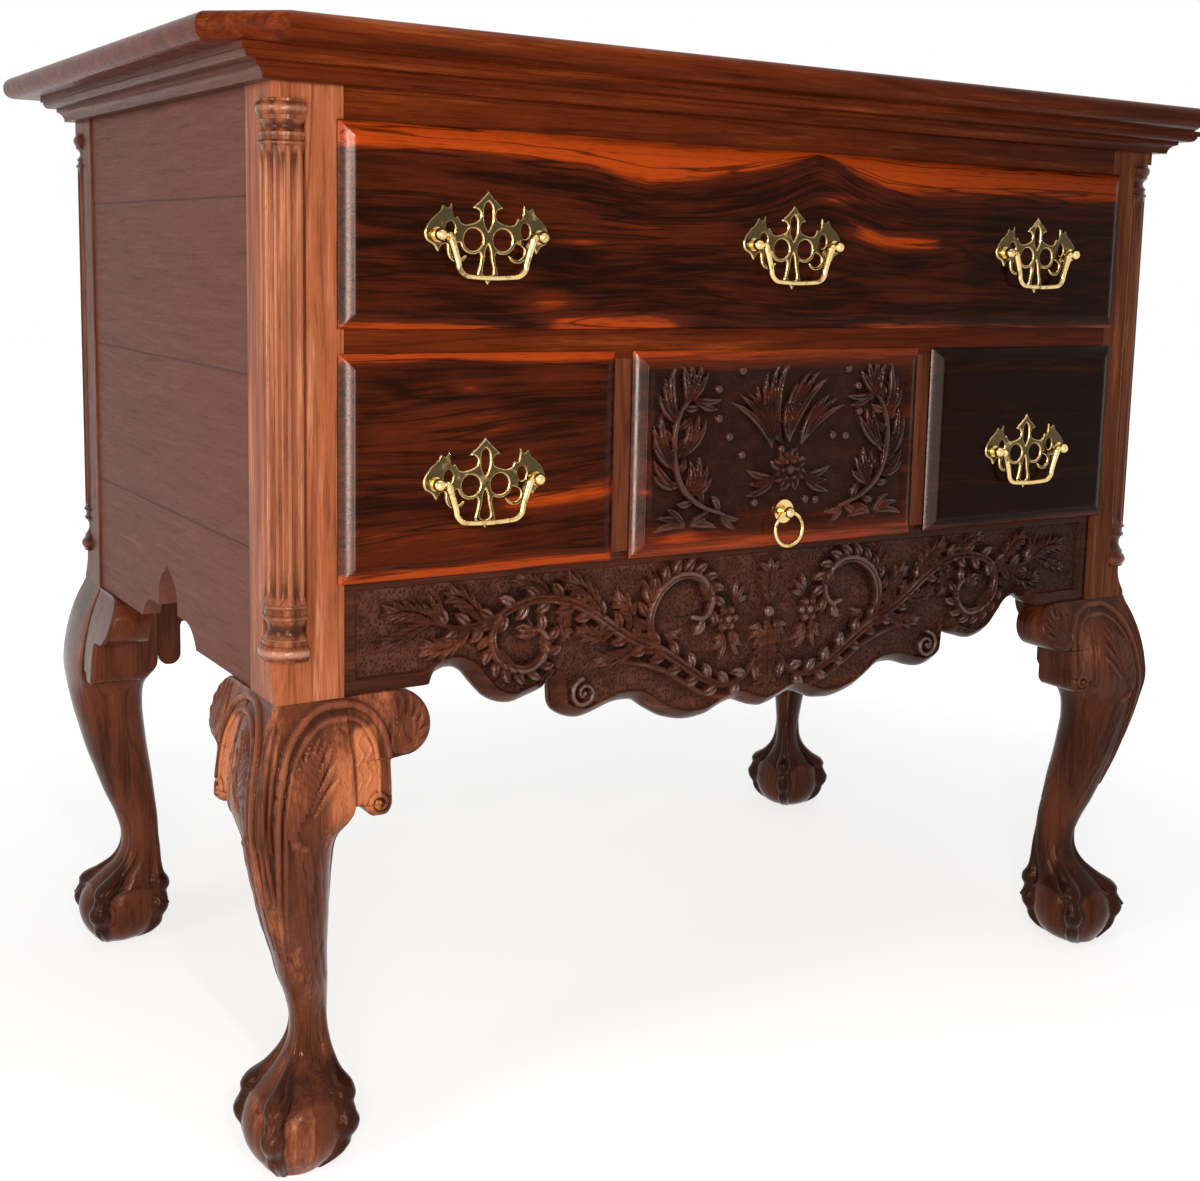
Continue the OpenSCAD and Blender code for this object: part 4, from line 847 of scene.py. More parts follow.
def makeLeg(carved, tone, look):
    # P(a, z): along the diagonal mid - half |cos a|^e, across w |sin a|^e, then the ball, claws and carving
    rows, around = look["fineMesh" if carved else "plainMesh"]
    kneeLine, footTop, footRows = caseSize["kneeLine"], look["footTop"], look["footRows"]
    z = np.concatenate([np.linspace(0, footTop, footRows, endpoint=False),
                        np.linspace(footTop, kneeLine, rows - footRows)])
    a = np.linspace(0, 2 * np.pi, around, endpoint=False)
    middle, half, wide, squareOut, squareIn = (c[:, None] for c in legSections(z, look).T)
    gridZ, angle = np.meshgrid(z, a, indexing="ij")
    power = 2 / np.where(np.cos(angle) >= 0, squareOut, squareIn)
    inwards = -half * np.sign(np.cos(angle)) * np.abs(np.cos(angle)) ** power
    across = wide * np.sign(np.sin(angle)) * np.abs(np.sin(angle)) ** power
    # the ball shows under the web, whose edge arches between the claws
    ball = np.sqrt(np.clip(look["ballRadius"] ** 2 - (gridZ - look["ballZ"]) ** 2, 1, None))
    radius = np.hypot(inwards, across)
    web = look["webLow"] + (look["webHigh"] - look["webLow"]) * np.abs(np.sin(2 * angle)) ** 0.6
    under = 1 - smoothStep(web - look["webSoft"], web + look["webSoft"], gridZ)
    scale = 1 + under * (np.minimum(ball, radius) / radius - 1)
    # claws: ridges at four angles, sqrt(1 - (d / w)^2) over the ball
    claw = smoothTable(look["claw"], z)
    rise, clawWide = claw[:, :1], claw[:, 1:]
    turn = np.abs((angle + np.pi / 4) % (np.pi / 2) - np.pi / 4)
    gap = turn * np.where(gridZ < 80, radius, radius * 0.9)
    ridge = rise * np.sqrt(np.clip(1 - (gap / clawWide) ** 2, 0, 1))
    ridge *= 1 - look["nailShare"] * np.exp(-((gap / look["nailWide"]) ** 2)) * (gridZ < look["nailHigh"])
    scale = np.where(gridZ < footTop, scale + ridge / radius, scale)
    inwards, across = inwards * scale + middle, across * scale
    grid = np.stack([(inwards + across) / math.sqrt(2), (inwards - across) / math.sqrt(2), gridZ], -1)
    # distance round the leg from its outer edge
    steps = np.linalg.norm(np.roll(grid, -1, 1) - grid, axis=-1)
    walked = np.concatenate([np.zeros((len(z), 1)), np.cumsum(steps, 1)[:, :-1]], 1)
    s = np.minimum(walked, steps.sum(1, keepdims=True) - walked)
    relief = Relief(s, gridZ)
    if carved:
        carveLeg(relief)
        nearKnee = smoothStep(kneeLine, kneeLine - 3, gridZ)
        relief.height *= nearKnee * smoothStep(look["carvedFrom"], look["carvedWhole"], gridZ)
    closed = np.concatenate([grid[:, -1:], grid, grid[:, :1]], 1)
    normal = reliefNormals(closed)[:, 1:-1]
    if (normal[len(z) // 2, 0, 0] + normal[len(z) // 2, 0, 1]) > 0:
        normal = -normal
    # the ground between the carvings lies deeper, up to the knee line and round to the blocks
    sunk = 0
    if carved:
        deepened = smoothStep(look["deepFrom"], look["deepWhole"], gridZ)
        nearKnee = 1 - smoothStep(kneeLine - look["deepUnder"], kneeLine, gridZ)
        sunk = look["sunk"] * deepened * nearKnee * (s < look["deepRound"])
    grid = grid + normal * (relief.height - sunk)[..., None]
    grid[..., 2] = np.clip(grid[..., 2], 0, kneeLine)
    # painted shade in the creases beside the claws and under the web
    shade = relief.shade(look["shadeReach"], look["shadeDepth"]) if carved else np.full(gridZ.shape, 0.5)
    creases = np.exp(-(((gap - clawWide) / look["creaseWide"]) ** 2)) * look["creaseShare"]
    creases = creases * smoothStep(75, 45, gridZ)
    creases = creases + look["webCreaseShare"] * under * np.exp(-((gridZ - web) / look["webCreaseWide"]) ** 2)
    shade = np.clip(shade - look["creaseShade"] * creases, 0, 1)
    # paler on the ball and inside the knee, darker on the claws and above the foot
    warm = tone + look["waveWarm"] * np.sin(gridZ / look["waveHigh"] + 3 * np.sin(angle))
    warm = warm + look["insideWarm"] * smoothStep(34, 52, s) * smoothStep(240, 285, gridZ)
    warm = warm - look["ankleDark"] * smoothStep(120, 70, gridZ)
    onClaw = look["clawDark"] * smoothStep(80, 62, gridZ) * np.clip(ridge / 5, 0, 1)
    warm += look["ballWarm"] * under * (gap > clawWide) - onClaw
    return grid, {"relief": np.ones(gridZ.shape), "shade": shade, "warm": warm}


for cornerName, (sideX, sideY) in corners.items():
    shape, fields = makeLeg(sideY < 0, legLook["tone"][cornerName], legLook)
    loftPiece("cabriole_" + cornerName, toCorner(shape, sideX, sideY), "case", "carved_wood",
              woods["carvedLeg"], stands=("leg_" + cornerName,), fields=fields, sharp=60)
print("legs made")

# knee blocks: a carved lobe and a hanging scroll beside each knee
blockLook = {
    "length": 60.0, "inside": 26.0, "lobeRadius": 21.0, "step": 28.0, "scrollRadius": 10.0, "edge": 3.5,
    "coveRadius": 9, "coveDrop": 5, "scrollUp": 3, "scrollDown": 6.6, "faceBack": 0.8, "shadeDepth": 2.6,
    # the paler panel between the scrolls: its fades along x and z, its warmth as a share of the tone
    "panelX": (1, 5, 20, 16), "panelZ": (312, 304, 250, 262), "panelWarm": 1.3, "plainWarm": 0.08,
    # painted light and shade: each corner's knee blocks get their own tone, palest at the front left
    "tone": {"front_left": 0.5, "front_right": 0.2, "back_left": 0.34, "back_right": 0.2},
    "rows": 110, "cols": 84,
}


def blockEdges(z, look):
    # left and right end of the block at a height: a half round lobe, a cove, a stem and a round scroll
    top, low, scroll = caseSize["kneeLine"], legLook["blockLow"] + look["scrollUp"], look["scrollRadius"]
    lobeZ = top - look["lobeRadius"]
    right = np.full(z.shape, look["step"])
    lobe = z > lobeZ - look["lobeRadius"]
    bulge = np.sqrt(np.clip(look["lobeRadius"] ** 2 - (z - lobeZ) ** 2, 0, None))
    right = np.where(lobe, look["length"] - look["lobeRadius"] + bulge, right)
    coveZ = lobeZ - look["lobeRadius"] - look["coveDrop"]
    cove = (z <= lobeZ - look["lobeRadius"]) & (z > coveZ)
    hollow = np.sqrt(np.clip(look["coveRadius"] ** 2 - (z - coveZ) ** 2, 0, None))
    right = np.where(cove, look["step"] + look["coveRadius"] - hollow, right)
    curl = scroll * np.sqrt(np.clip(1 - ((z - low) / scroll) ** 2, 0, 1))
    right = np.where(z < low, look["step"] - scroll + curl, right)
    left = np.where(z < low, look["step"] - scroll - curl, 0)
    return left, np.maximum(right, left + 1)


def carveBlock(relief):
    # x from the post, z up: the C-scroll comes over from the knee, turns down and ends in the hanging scroll
    relief.ridge([(0, 325), (8, 323), (17, 317), (23.5, 306), (26, 292), (26.5, 276), (25.5, 264)],
                 [2.6, 2.6, 2.0], [2.4, 2.4, 2.0])
    relief.ridge([(0, 316), (6, 314.5), (12, 309), (16.5, 299), (18.5, 287), (19, 275), (18, 266)],
                 [2.0, 1.8, 1.4], [1.9, 1.8, 1.2])
    relief.scroll((18, 258), 8.6, 2.4, 1.6, 10, -1, 1.9, 2.3)
    relief.ridge([(3, 268), (6, 276), (3, 284), (8, 291), (5, 299), (9, 306)], [0.9, 1.2, 0.8],
                 [0.7, 0.9, 0.7])
    relief.ridge([(9, 270), (13, 278), (9, 286), (14, 294), (11, 301)], [0.9, 1.2, 0.8], [0.7, 0.9, 0.7])
    relief.fan((28, 292), [(34, 326), (41, 327), (48, 325.5), (54, 321), (57.5, 314), (58, 305), (54, 297),
                           (47, 292.5)], -0.12, 2.9, 2.4)


def makeBlock(carved, tone, look):
    # P(t, z): across from the left end to the right end, its face on the knee's arc, edges rounded over
    z = np.linspace(legLook["blockLow"] - look["scrollDown"], caseSize["kneeLine"], look["rows"])
    t = np.linspace(0, 1, look["cols"])
    left, right = blockEdges(z, look)
    gridZ, share = np.meshgrid(z, t, indexing="ij")
    x = left[:, None] + (right - left)[:, None] * share
    face = kneeFace(gridZ, legLook)
    relief = Relief(x, gridZ)
    if carved:
        carveBlock(relief)
    edge = np.clip((right[:, None] - x) / look["edge"], 0, 1)
    lowEdge = np.clip((x - left[:, None]) / look["edge"], 0, 1)
    lowEdge = np.where(gridZ < legLook["blockLow"] + look["scrollUp"], lowEdge, 1)
    low = np.clip((gridZ - z[0]) / look["edge"], 0, 1)
    edge = np.minimum(np.minimum(edge, lowEdge), low)
    rounded = look["edge"] * (1 - np.sqrt(np.clip(1 - (1 - edge) ** 2, 0, 1)))
    nearTop = smoothStep(caseSize["kneeLine"], caseSize["kneeLine"] - 3, gridZ)
    depth = face + rounded + (look["faceBack"] - relief.height * edge) * nearTop
    front = np.stack([x + caseSize["postWidth"], depth, gridZ], -1)
    back = front[:, ::-1][:, [0, look["cols"] // 2, -1]].copy()
    back[..., 1] = look["inside"]
    shade = relief.shade(3, look["shadeDepth"]) if carved else np.full(gridZ.shape, 0.5)
    panelX, panelZ = look["panelX"], look["panelZ"]
    panel = smoothStep(*panelX[:2], x) * smoothStep(*panelX[2:], x)
    panel = panel * smoothStep(*panelZ[:2], gridZ) * smoothStep(*panelZ[2:], gridZ)
    warm = tone + look["plainWarm"] + (look["panelWarm"] * tone * panel if carved else 0.0 * panel)
    widen = lambda field, value: np.concatenate([field, np.full((len(z), 3), value)], 1)
    fields = {"relief": widen(np.ones(gridZ.shape), 1), "shade": widen(shade, 0.5), "warm": widen(warm, tone)}
    return np.concatenate([front, back], 1), fields


for cornerName, (sideX, sideY) in corners.items():
    shape, fields = makeBlock(sideY < 0, blockLook["tone"][cornerName], blockLook)
    for way in ("across", "deep"):
        turned = shape if way == "across" else shape[..., [1, 0, 2]]
        loftPiece("knee_block_" + cornerName + "_" + way, toCorner(turned, sideX, sideY), "case",
                  "carved_wood", woods["carvedLeg"], stands=("knee_blocks_" + cornerName,), fields=fields,
                  sharp=50)
print("knee blocks made")

# quarter columns: a turned outline with flutes cut in the shaft
columnLook = {
    "inset": 14.5, "shaft": 16.3, "shaftRings": 60, "around": 240, "wallGap": 0.05,
    "flutes": 12, "fluteDepth": 1.9, "fluteHalf": 0.36, "fluteEnd": 4, "fluteLow": 398.0, "fluteHigh": 683.0,
    "shadeDepth": 2.6, "endsWarm": 0.26, "shaftWarm": 0.26,
    # height, radius and bulge of each stretch of the base, seen from the bottom
    "base": [(357.0, 18.0, 0), (358.2, 18.0, 2.2), (367.2, 18.0, 0), (367.4, 17.2, 0), (370.4, 17.2, 0),
             (370.6, 16.6, -2.3), (383.6, 15.4, 0), (384.0, 16.4, 0.9), (387.0, 16.4, 0), (387.3, 15.9, 0),
             (391.4, 15.9, 0), (391.6, 16.6, 1.0), (394.6, 16.6, 0), (395.0, 16.3, 0)],
    "capital": [(686.2, 16.3, 0), (686.4, 16.6, 1.0), (689.6, 16.6, 0), (689.9, 15.9, 0), (692.2, 15.9, 0),
                (692.4, 16.4, 0), (694.6, 16.4, 0), (694.8, 15.6, -2.0), (702.2, 16.6, 0), (702.4, 17.4, 0),
                (705.0, 17.4, 0), (705.2, 17.8, 1.5), (713.0, 17.8, 0), (713.2, 17.4, 0), (715.0, 17.4, 0)],
}


def turnedOutline(parts, steps=9):
    # between two levels the radius runs straight, plus bulge sin(pi t)
    rows = []
    for (z0, r0, bulge), (z1, r1, _) in zip(parts[:-1], parts[1:]):
        t = np.linspace(0, 1, steps if bulge else 2)[:, None]
        rows.append(np.hstack([z0 + (z1 - z0) * t, r0 + (r1 - r0) * t + bulge * np.sin(np.pi * t)]))
    return np.vstack(rows)


def makeColumn(look):
    # r(a, z): the outline, less the flutes; towards the post it is cut flat by the rebate's walls
    shaft = np.linspace(look["base"][-1][0], look["capital"][0][0], look["shaftRings"])[1:-1]
    straight = np.stack([shaft, np.full(len(shaft), look["shaft"])], -1)
    outline = np.vstack([turnedOutline(look["base"]), straight, turnedOutline(look["capital"])])
    a = np.linspace(0, 2 * np.pi, look["around"], endpoint=False)
    gridZ, angle = np.meshgrid(outline[:, 0], a, indexing="ij")
    radius = np.repeat(outline[:, 1:], len(a), 1)
    ends = np.clip(np.minimum(gridZ - look["fluteLow"], look["fluteHigh"] - gridZ) / look["fluteEnd"], 0, 1)
    across = (angle * look["flutes"] / (2 * np.pi) + 0.5) % 1 - 0.5
    flute = np.sqrt(np.clip(1 - (across / look["fluteHalf"]) ** 2, 0, 1))
    radius = radius - look["fluteDepth"] * flute * np.sqrt(1 - (1 - ends) ** 2)
    # painted shade in the flutes and a painted highlight on the fillets between them
    relief = Relief(gridZ, angle)
    relief.height = radius
    shade = relief.shade(3, look["shadeDepth"])
    room = postLook["rebate"] - look["inset"] - look["wallGap"]
    radius = np.minimum(radius, room / np.maximum(np.maximum(np.cos(angle), np.sin(angle)), 1e-3))
    x, y = look["inset"] + radius * np.cos(angle), look["inset"] + radius * np.sin(angle)
    grid = np.stack([x, y, gridZ], -1)
    warm = look["endsWarm"] + look["shaftWarm"] * ends
    return grid, {"relief": np.ones(gridZ.shape), "shade": shade, "warm": warm}


columnShape, columnFields = makeColumn(columnLook)
for cornerName, (sideX, sideY) in corners.items():
    # the lit copy of the wood at the front left, the shaded copy elsewhere: painted light and shade
    columnWood = woods["turnedLit" if cornerName == litCorner else "turnedShaded"]
    loftPiece("fluted_column_" + cornerName, toCorner(columnShape, sideX, sideY), "case", "case_wood",
              columnWood, stands=("column_" + cornerName,), fields=columnFields, sharp=40)
print("columns made")

# apron: scalloped lower edge, sunk stippled ground, carved rosette, scrolls and leaves
apronLook = {
    "thick": 20.0, "cols": 760, "rows": 126, "edgeRows": 14, "edgeShare": 0.1,
    "band": 9.5, "topBand": 11, "sideBand": 9, "sunk": 3.6, "groundSoft": 1.6, "setBack": 3.5,
    "carvingScale": 1.35, "carvingOver": 3.2, "carvingWhole": 2.0, "shadeReach": 6, "shadeDepth": 4.2,
    "bevel": 9.5, "bevelDeep": 14.5, "straight": 0.55, "rounded": 0.45, "bevelEnds": (293, 284),
    # columns of the grid on each side whose edge points the distance from the edge is measured to
    "reachCols": 26,
    "edge": [(0, 273), (9, 275), (17, 278), (27, 281.5), (36, 280), (44, 277), (52, 273.5), (61, 272),
             (70, 271.6), (78, 272.6), (87, 275), (95, 278), (107, 285), (118, 292.5), (128, 294),
             (140, 293), (156, 288), (168, 286), (179, 289), (187, 294), (190.6, 300), (191.6, 307),
             (192.2, 316), (193.5, 318.5), (195.5, 314), (200, 311), (211, 307.5), (223, 304.5), (233, 306),
             (243, 311), (250, 318), (256, 325), (262, 332), (270, 336), (279, 335.5), (287, 331.5),
             (293, 329.3), (300, 329), (312, 329), (334, 329), (355, 329)],
}


def carveApron(relief):
    # everything is drawn on the right half: x from the middle, z up; the long stem climbs from the middle
    # of the lower edge to the outer end
    stem = [(12, 316), (22, 303), (40, 298), (60, 305), (80, 318), (100, 331), (122, 341), (142, 353),
            (162, 367), (182, 377), (205, 381), (226, 377), (244, 369), (268, 366), (292, 373)]
    relief.vine(stem, [2.0, 3.8, 5.2, 5.2, 4.6, 3.6, 2.0], [2.6, 3.8, 4.6, 4.8, 4.4, 3.8, 2.4], 15, 9.5,
                thick=0.33)
    relief.groove(stem, 1.1, 1.8, 8)
    relief.ridge([(30, 290), (46, 289), (62, 294), (80, 305), (98, 316), (118, 323), (142, 327)],
                 [1.4, 3.0, 3.2, 1.6], [1.4, 2.6, 2.8, 1.6], 6)
    # the big C-scroll beside the rosette, with short blades all round it
    relief.vine([(100, 330), (109, 343), (111, 360), (103, 377), (87, 387), (70, 386), (58, 376), (55, 363),
                 (62, 353), (72, 354)],
                [3.4, 4.6, 4.2, 2.8], [3.8, 4.6, 4.2, 3.2], 15, 9, (-1,), 0.32)
    relief.groove([(102, 333), (110, 347), (110, 362), (102, 377), (87, 386), (70, 385), (60, 376)],
                  0.9, 1.3, 6)
    relief.fan((60, 366), [(50, 378), (54, 384), (61, 386), (67, 381)], 0.2, 2.6, 3.6)
    relief.fan((112, 366), [(107, 394), (114, 397), (120, 390)], 0.2, 2.6, 3.4)
    relief.fan((96, 344), [(80, 348), (82, 340), (88, 334)], 0.2, 2.4, 3.0)
    # small flower with a berry, and the leaves under it
    for k in range(6):
        a = k * math.pi / 3
        relief.boss((40 + 7 * math.cos(a), 350 + 7 * math.sin(a)), 4.2, 3.4)
    relief.boss((40, 350), 4.4, 4.6)
    relief.fan((36, 340), [(26, 334), (22, 326), (26, 318)], 0.25, 3.0, 3.2)
    relief.fan((44, 340), [(52, 334), (54, 325), (48, 316)], -0.25, 3.0, 3.2)
    relief.fan((32, 360), [(20, 366), (22, 376), (30, 382)], -0.25, 3.0, 3.2)
    # middle: a palmette above and a leaf below, about a berry
    relief.boss((0, 352), 5.5, 4.6)
    relief.leaf([(0, 358), (0, 370), (0, 382), (0, 394)], 13, 3.6, 4)
    relief.leaf([(0, 345), (0, 330), (0, 312), (0, 292)], 14, 3.6, 5)
    relief.fan((8, 344), [(20, 340), (19, 330), (14, 322)], -0.2, 2.8, 3.2)
    # leaves that leave the stem
    relief.leaf([(128, 346), (126, 358), (132, 370), (144, 376)], 9, 3.6, 4)
    relief.leaf([(140, 352), (152, 348), (164, 350), (174, 357)], 8, 3.4, 4)
    relief.leaf([(150, 360), (158, 374), (170, 386), (186, 393)], 10, 3.8, 5)
    relief.leaf([(196, 382), (204, 390), (216, 395), (228, 396)], 7, 3.2, 4)
    relief.leaf([(120, 340), (132, 332), (146, 328), (160, 331)], 8, 3.2, 4)
    relief.leaf([(176, 376), (184, 368), (186, 358), (180, 348)], 8, 3.4, 4)
    # the second scroll, under the arch of the stem
    relief.vine([(238, 371), (243, 358), (240, 343), (228, 333), (213, 331), (201, 339), (199, 351),
                 (207, 359), (216, 355)],
                [3.4, 4.4, 3.8, 2.4], [3.8, 4.4, 4.0, 3.2], 14, 9, (1,), 0.32)
    relief.groove([(240, 368), (243, 356), (239, 343), (227, 334), (213, 332), (203, 340)], 0.8, 1.2, 6)
    relief.fan((214, 352), [(206, 364), (214, 368), (222, 364), (226, 356)], 0.2, 2.6, 3.4)
    relief.fan((242, 350), [(236, 326), (228, 319), (219, 317)], -0.2, 2.8, 3.0)
    relief.fan((204, 352), [(190, 350), (188, 342), (193, 334)], 0.2, 2.6, 3.0)
    # leaves at the outer end
    relief.leaf([(250, 368), (258, 380), (268, 388), (280, 392)], 9, 3.6, 4)
    relief.leaf([(258, 366), (270, 356), (284, 352), (298, 355)], 9, 3.6, 5)
    relief.leaf([(284, 370), (296, 378), (310, 382), (326, 381)], 9, 3.6, 5)
    relief.leaf([(290, 372), (304, 368), (316, 362), (330, 360)], 6, 3.0, 4)
    relief.fan((280, 372), [(284, 392), (291, 393), (298, 389)], -0.15, 2.6, 3.4)
    # volute on the hanging scroll of the edge
    relief.scroll((167, 307), 11, 3.0, 1.4, 80, -1, 2.4, 3.6)


def makeApron(look):
    # P(s, t): straight up from the scalloped edge to the top; the edge rolls over, the ground is sunk
    # and carved
    half = smoothLine(look["edge"], 6)
    outline = np.vstack([half[::-1] * (-1, 1), half[1:]])
    lengths = np.concatenate([[0], np.cumsum(np.hypot(*np.diff(outline, axis=0).T))])
    s = np.linspace(0, lengths[-1], look["cols"])
    edgeX, edgeZ = np.interp(s, lengths, outline[:, 0]), np.interp(s, lengths, outline[:, 1])
    top = caseSize["lowerZ"]
    t = np.concatenate([np.linspace(0, look["edgeShare"], look["edgeRows"], endpoint=False),
                        np.linspace(look["edgeShare"], 1, look["rows"] - look["edgeRows"])])
    gridX = np.repeat(edgeX[:, None], len(t), 1)
    gridZ = edgeZ[:, None] + (top - edgeZ[:, None]) * t
    # distance from the lower edge, measured to the edge's points near each column
    gap = np.full(gridX.shape, 1e9)
    for shift in range(-look["reachCols"], look["reachCols"] + 1, 2):
        nearX, nearZ = np.roll(edgeX, shift), np.roll(edgeZ, shift)
        if shift > 0:
            nearX[:shift], nearZ[:shift] = edgeX[0], edgeZ[0]
        elif shift < 0:
            nearX[shift:], nearZ[shift:] = edgeX[-1], edgeZ[-1]
        gap = np.minimum(gap, np.hypot(gridX - nearX[:, None], gridZ - nearZ[:, None]))
    relief = Relief(np.abs(gridX), gridZ)
    carveApron(relief)
    outer = np.minimum(top - look["topBand"] - gridZ, caseSize["innerX"] - look["sideBand"] - np.abs(gridX))
    border = np.minimum(gap - look["band"], outer)
    field = smoothStep(0, look["groundSoft"], border)
    # the lower edge is cut back, between a straight bevel and a quarter ellipse; it ends at the knee blocks
    roll = 1 - np.clip(gap / look["bevel"], 0, 1)
    curved = 1 - np.sqrt(np.clip(1 - roll ** 2, 0, 1))
    depth = look["bevelDeep"] * (look["straight"] * roll + look["rounded"] * curved)
    depth = depth * smoothStep(*look["bevelEnds"], np.abs(gridX))
    height = np.minimum(look["carvingScale"] * relief.height, look["sunk"] + look["carvingOver"])
    face = caseSize["frontY"] + look["setBack"]
    gridY = face + depth + field * (look["sunk"] - height)
    front = np.stack([gridX, gridY, gridZ], -1)
    carving = np.where(field > 0.5, np.clip(relief.height / look["carvingWhole"], 0, 1), 1)
    shade = np.where(border > 0, relief.shade(look["shadeReach"], look["shadeDepth"]), 0.5)
    back = front[:, [-1, -1, 0, 0]].copy()
    backDepths = np.array([look["setBack"] + 0.02, look["thick"], look["thick"], look["thick"] - 1])
    back[:, :, 1] = caseSize["frontY"] + backDepths
    widen = lambda values, value: np.concatenate([values, np.full((len(s), 4), value)], 1)
    return np.concatenate([front, back], 1), {"relief": widen(carving, 0.6), "shade": widen(shade, 0.5)}


apronShape, apronFields = makeApron(apronLook)
loftPiece("carved_apron", apronShape, "case", "carved_wood", woods["carvedApron"],
          stands=("apron",), fields=apronFields, sharp=55)
print("apron made")

# drawer fronts: a lipped board with a thumbnail edge; the middle one is carved
frontLook = {
    "lipOver": 5.5, "lipGap": 0.3, "lipThick": 7.7, "round": 9.5, "slope": 0.36, "curve": 0.2, "fillet": 0.5,
    "filletWide": 0.75, "edgeRows": 12, "thick": 20.0, "sideGap": 1.2, "runGap": 0.3, "topGap": 2.0,
    "edgePolish": 0.12, "crestPolish": 0.5, "backWarm": 0.4,
    # the middle front's carving: how deep its ground lies, how high it may stand, and where the ring's
    # post stands
    "sunk": 1.9, "carvingOver": 1.7, "carvingHigh": 3.6, "postZ": 433, "postRoom": (9.0, 10.5),
    "groundFrom": (424, 436), "groundTo": (548, 538), "carvingWhole": 1.6, "crest": (0.56, 0.8),
    "shadeReach": 5, "shadeDepth": 3.4, "deepen": 0.85, "deepWarm": 0.12,
}
# open: the opening's middle, width, lower edge and height; step: the grid's; ground: the warmth where
# no band or spot lies.
# The figure follows flow lines: heights at the stations, one row for each level from 0 to 1.
# bands: level, half width, from, to, warmth; spots: x, z, half sizes, warmth.
fronts = {
    "upper": {
        "open": (0.0, 710.0, 578.0, 121.0), "step": 2.4, "ground": 0.2,
        "stations": [-360, -300, -240, -180, -130, -80, -40, -10, 12, 25, 38, 60, 90, 130, 200, 280, 360],
        "levels": [0, 0.04, 0.25, 0.45, 0.62, 0.8, 1],
        "lines": [[572] * 17,
                  [578, 578, 576, 581, 582, 579, 577, 576, 576, 576, 576, 576, 577, 577, 577, 577, 577],
                  [612, 612, 610, 606, 610, 614, 612, 608, 606, 606, 606, 606, 605, 604, 602, 600, 600],
                  [648, 648, 645, 643, 642, 643, 645, 648, 652, 654, 654, 649, 641, 640, 644, 647, 649],
                  [665, 664, 660, 656, 652, 655, 660, 670, 680, 684, 682, 674, 666, 662, 661, 661, 662],
                  [687, 687, 687, 683, 675, 679, 686, 694, 699, 703, 700, 689, 679, 676, 677, 677, 678],
                  [706] * 17],
        "bands": [(0.9, 0.1, -400, 400, 0.95), (0.86, 0.05, -170, 0, 0.2), (0.45, 0.035, 50, 150, 0.75),
                  (0.45, 0.03, 120, 380, 0.12), (0.47, 0.07, -250, -50, 0.3), (0.01, 0.03, -380, -235, 0.7),
                  (0.01, 0.035, -215, -90, 0.75), (0.01, 0.025, 60, 380, 0.7),
                  (0.63, 0.05, -380, -180, 0.16), (0.23, 0.05, 80, 240, 0.2), (0.7, 0.05, 60, 380, 0.1),
                  (0.4, 0.42, 180, 400, -0.1)],
        "spots": [(-208, 590, 20, 8, 0.5), (44, 671, 24, 4, 0.6), (32, 688, 12, 6, 0.2),
                  (-185, 632, 26, 3, 0.3), (-330, 620, 14, 4, 0.15)]},
    "left": {
        "open": (-255.75, 198.5, 411.0, 140.0), "step": 2.4, "ground": 0.24,
        "stations": [-361, -320, -280, -240, -200, -151],
        "levels": [0, 0.07, 0.3, 0.5, 0.75, 0.94, 1],
        "lines": [[405] * 6, [413, 413, 412, 413, 414, 413], [440, 444, 446, 446, 448, 452],
                  [478, 476, 474, 478, 482, 486], [514, 516, 522, 526, 528, 528],
                  [549, 550, 551, 549, 548, 549], [557] * 6],
        "bands": [(0.985, 0.04, -400, 0, 0.75), (0.03, 0.045, -400, 0, 0.75),
                  (0.16, 0.05, -400, -240, 0.25), (0.34, 0.05, -250, -100, 0.55),
                  (0.66, 0.06, -345, -230, 0.3), (0.52, 0.05, -400, -200, 0.12),
                  (0.86, 0.05, -230, -160, 0.25), (0.24, 0.04, -340, -250, 0.3)],
        "spots": [(-270, 533, 10, 2.5, 0.6), (-345, 437, 20, 4, 0.3)]},
    "middle": {
        "open": (0.0, 261.0, 411.0, 140.0), "step": 0.85, "ground": 0.2,
        "stations": [-137, -90, -40, 0, 40, 90, 137],
        "levels": [0, 0.12, 0.35, 0.6, 0.88, 1],
        "lines": [[405] * 7, [424, 423, 422, 424, 423, 423, 424], [458, 455, 452, 456, 457, 458, 459],
                  [500, 498, 500, 497, 496, 498, 499],
                  [541, 540, 536, 540, 542, 543, 543], [557] * 7],
        "bands": [(1.0, 0.09, -200, 200, 0.6), (0.03, 0.085, -200, 200, 0.5), (0.33, 0.02, -140, -70, 0.5),
                  (0.35, 0.02, 40, 130, 0.4), (0.8, 0.06, -70, -20, 0.25)],
        "spots": [(-115, 466, 14, 6, 0.6), (-95, 420, 20, 5, 0.3)]},
    "right": {
        "open": (255.75, 198.5, 411.0, 140.0), "step": 2.4, "ground": -0.03,
        "stations": [151, 200, 250, 300, 361],
        "levels": [0, 0.07, 0.4, 0.7, 0.95, 1],
        "lines": [[405] * 5, [414, 413, 413, 414, 413], [462, 458, 456, 458, 462],
                  [506, 508, 512, 508, 504], [550, 549, 550, 550, 549], [557] * 5],
        "bands": [(0.02, 0.03, 100, 400, 0.55), (0.9, 0.05, 100, 400, 0.12), (0.3, 0.06, 100, 400, 0.14)],
        "spots": []},
}


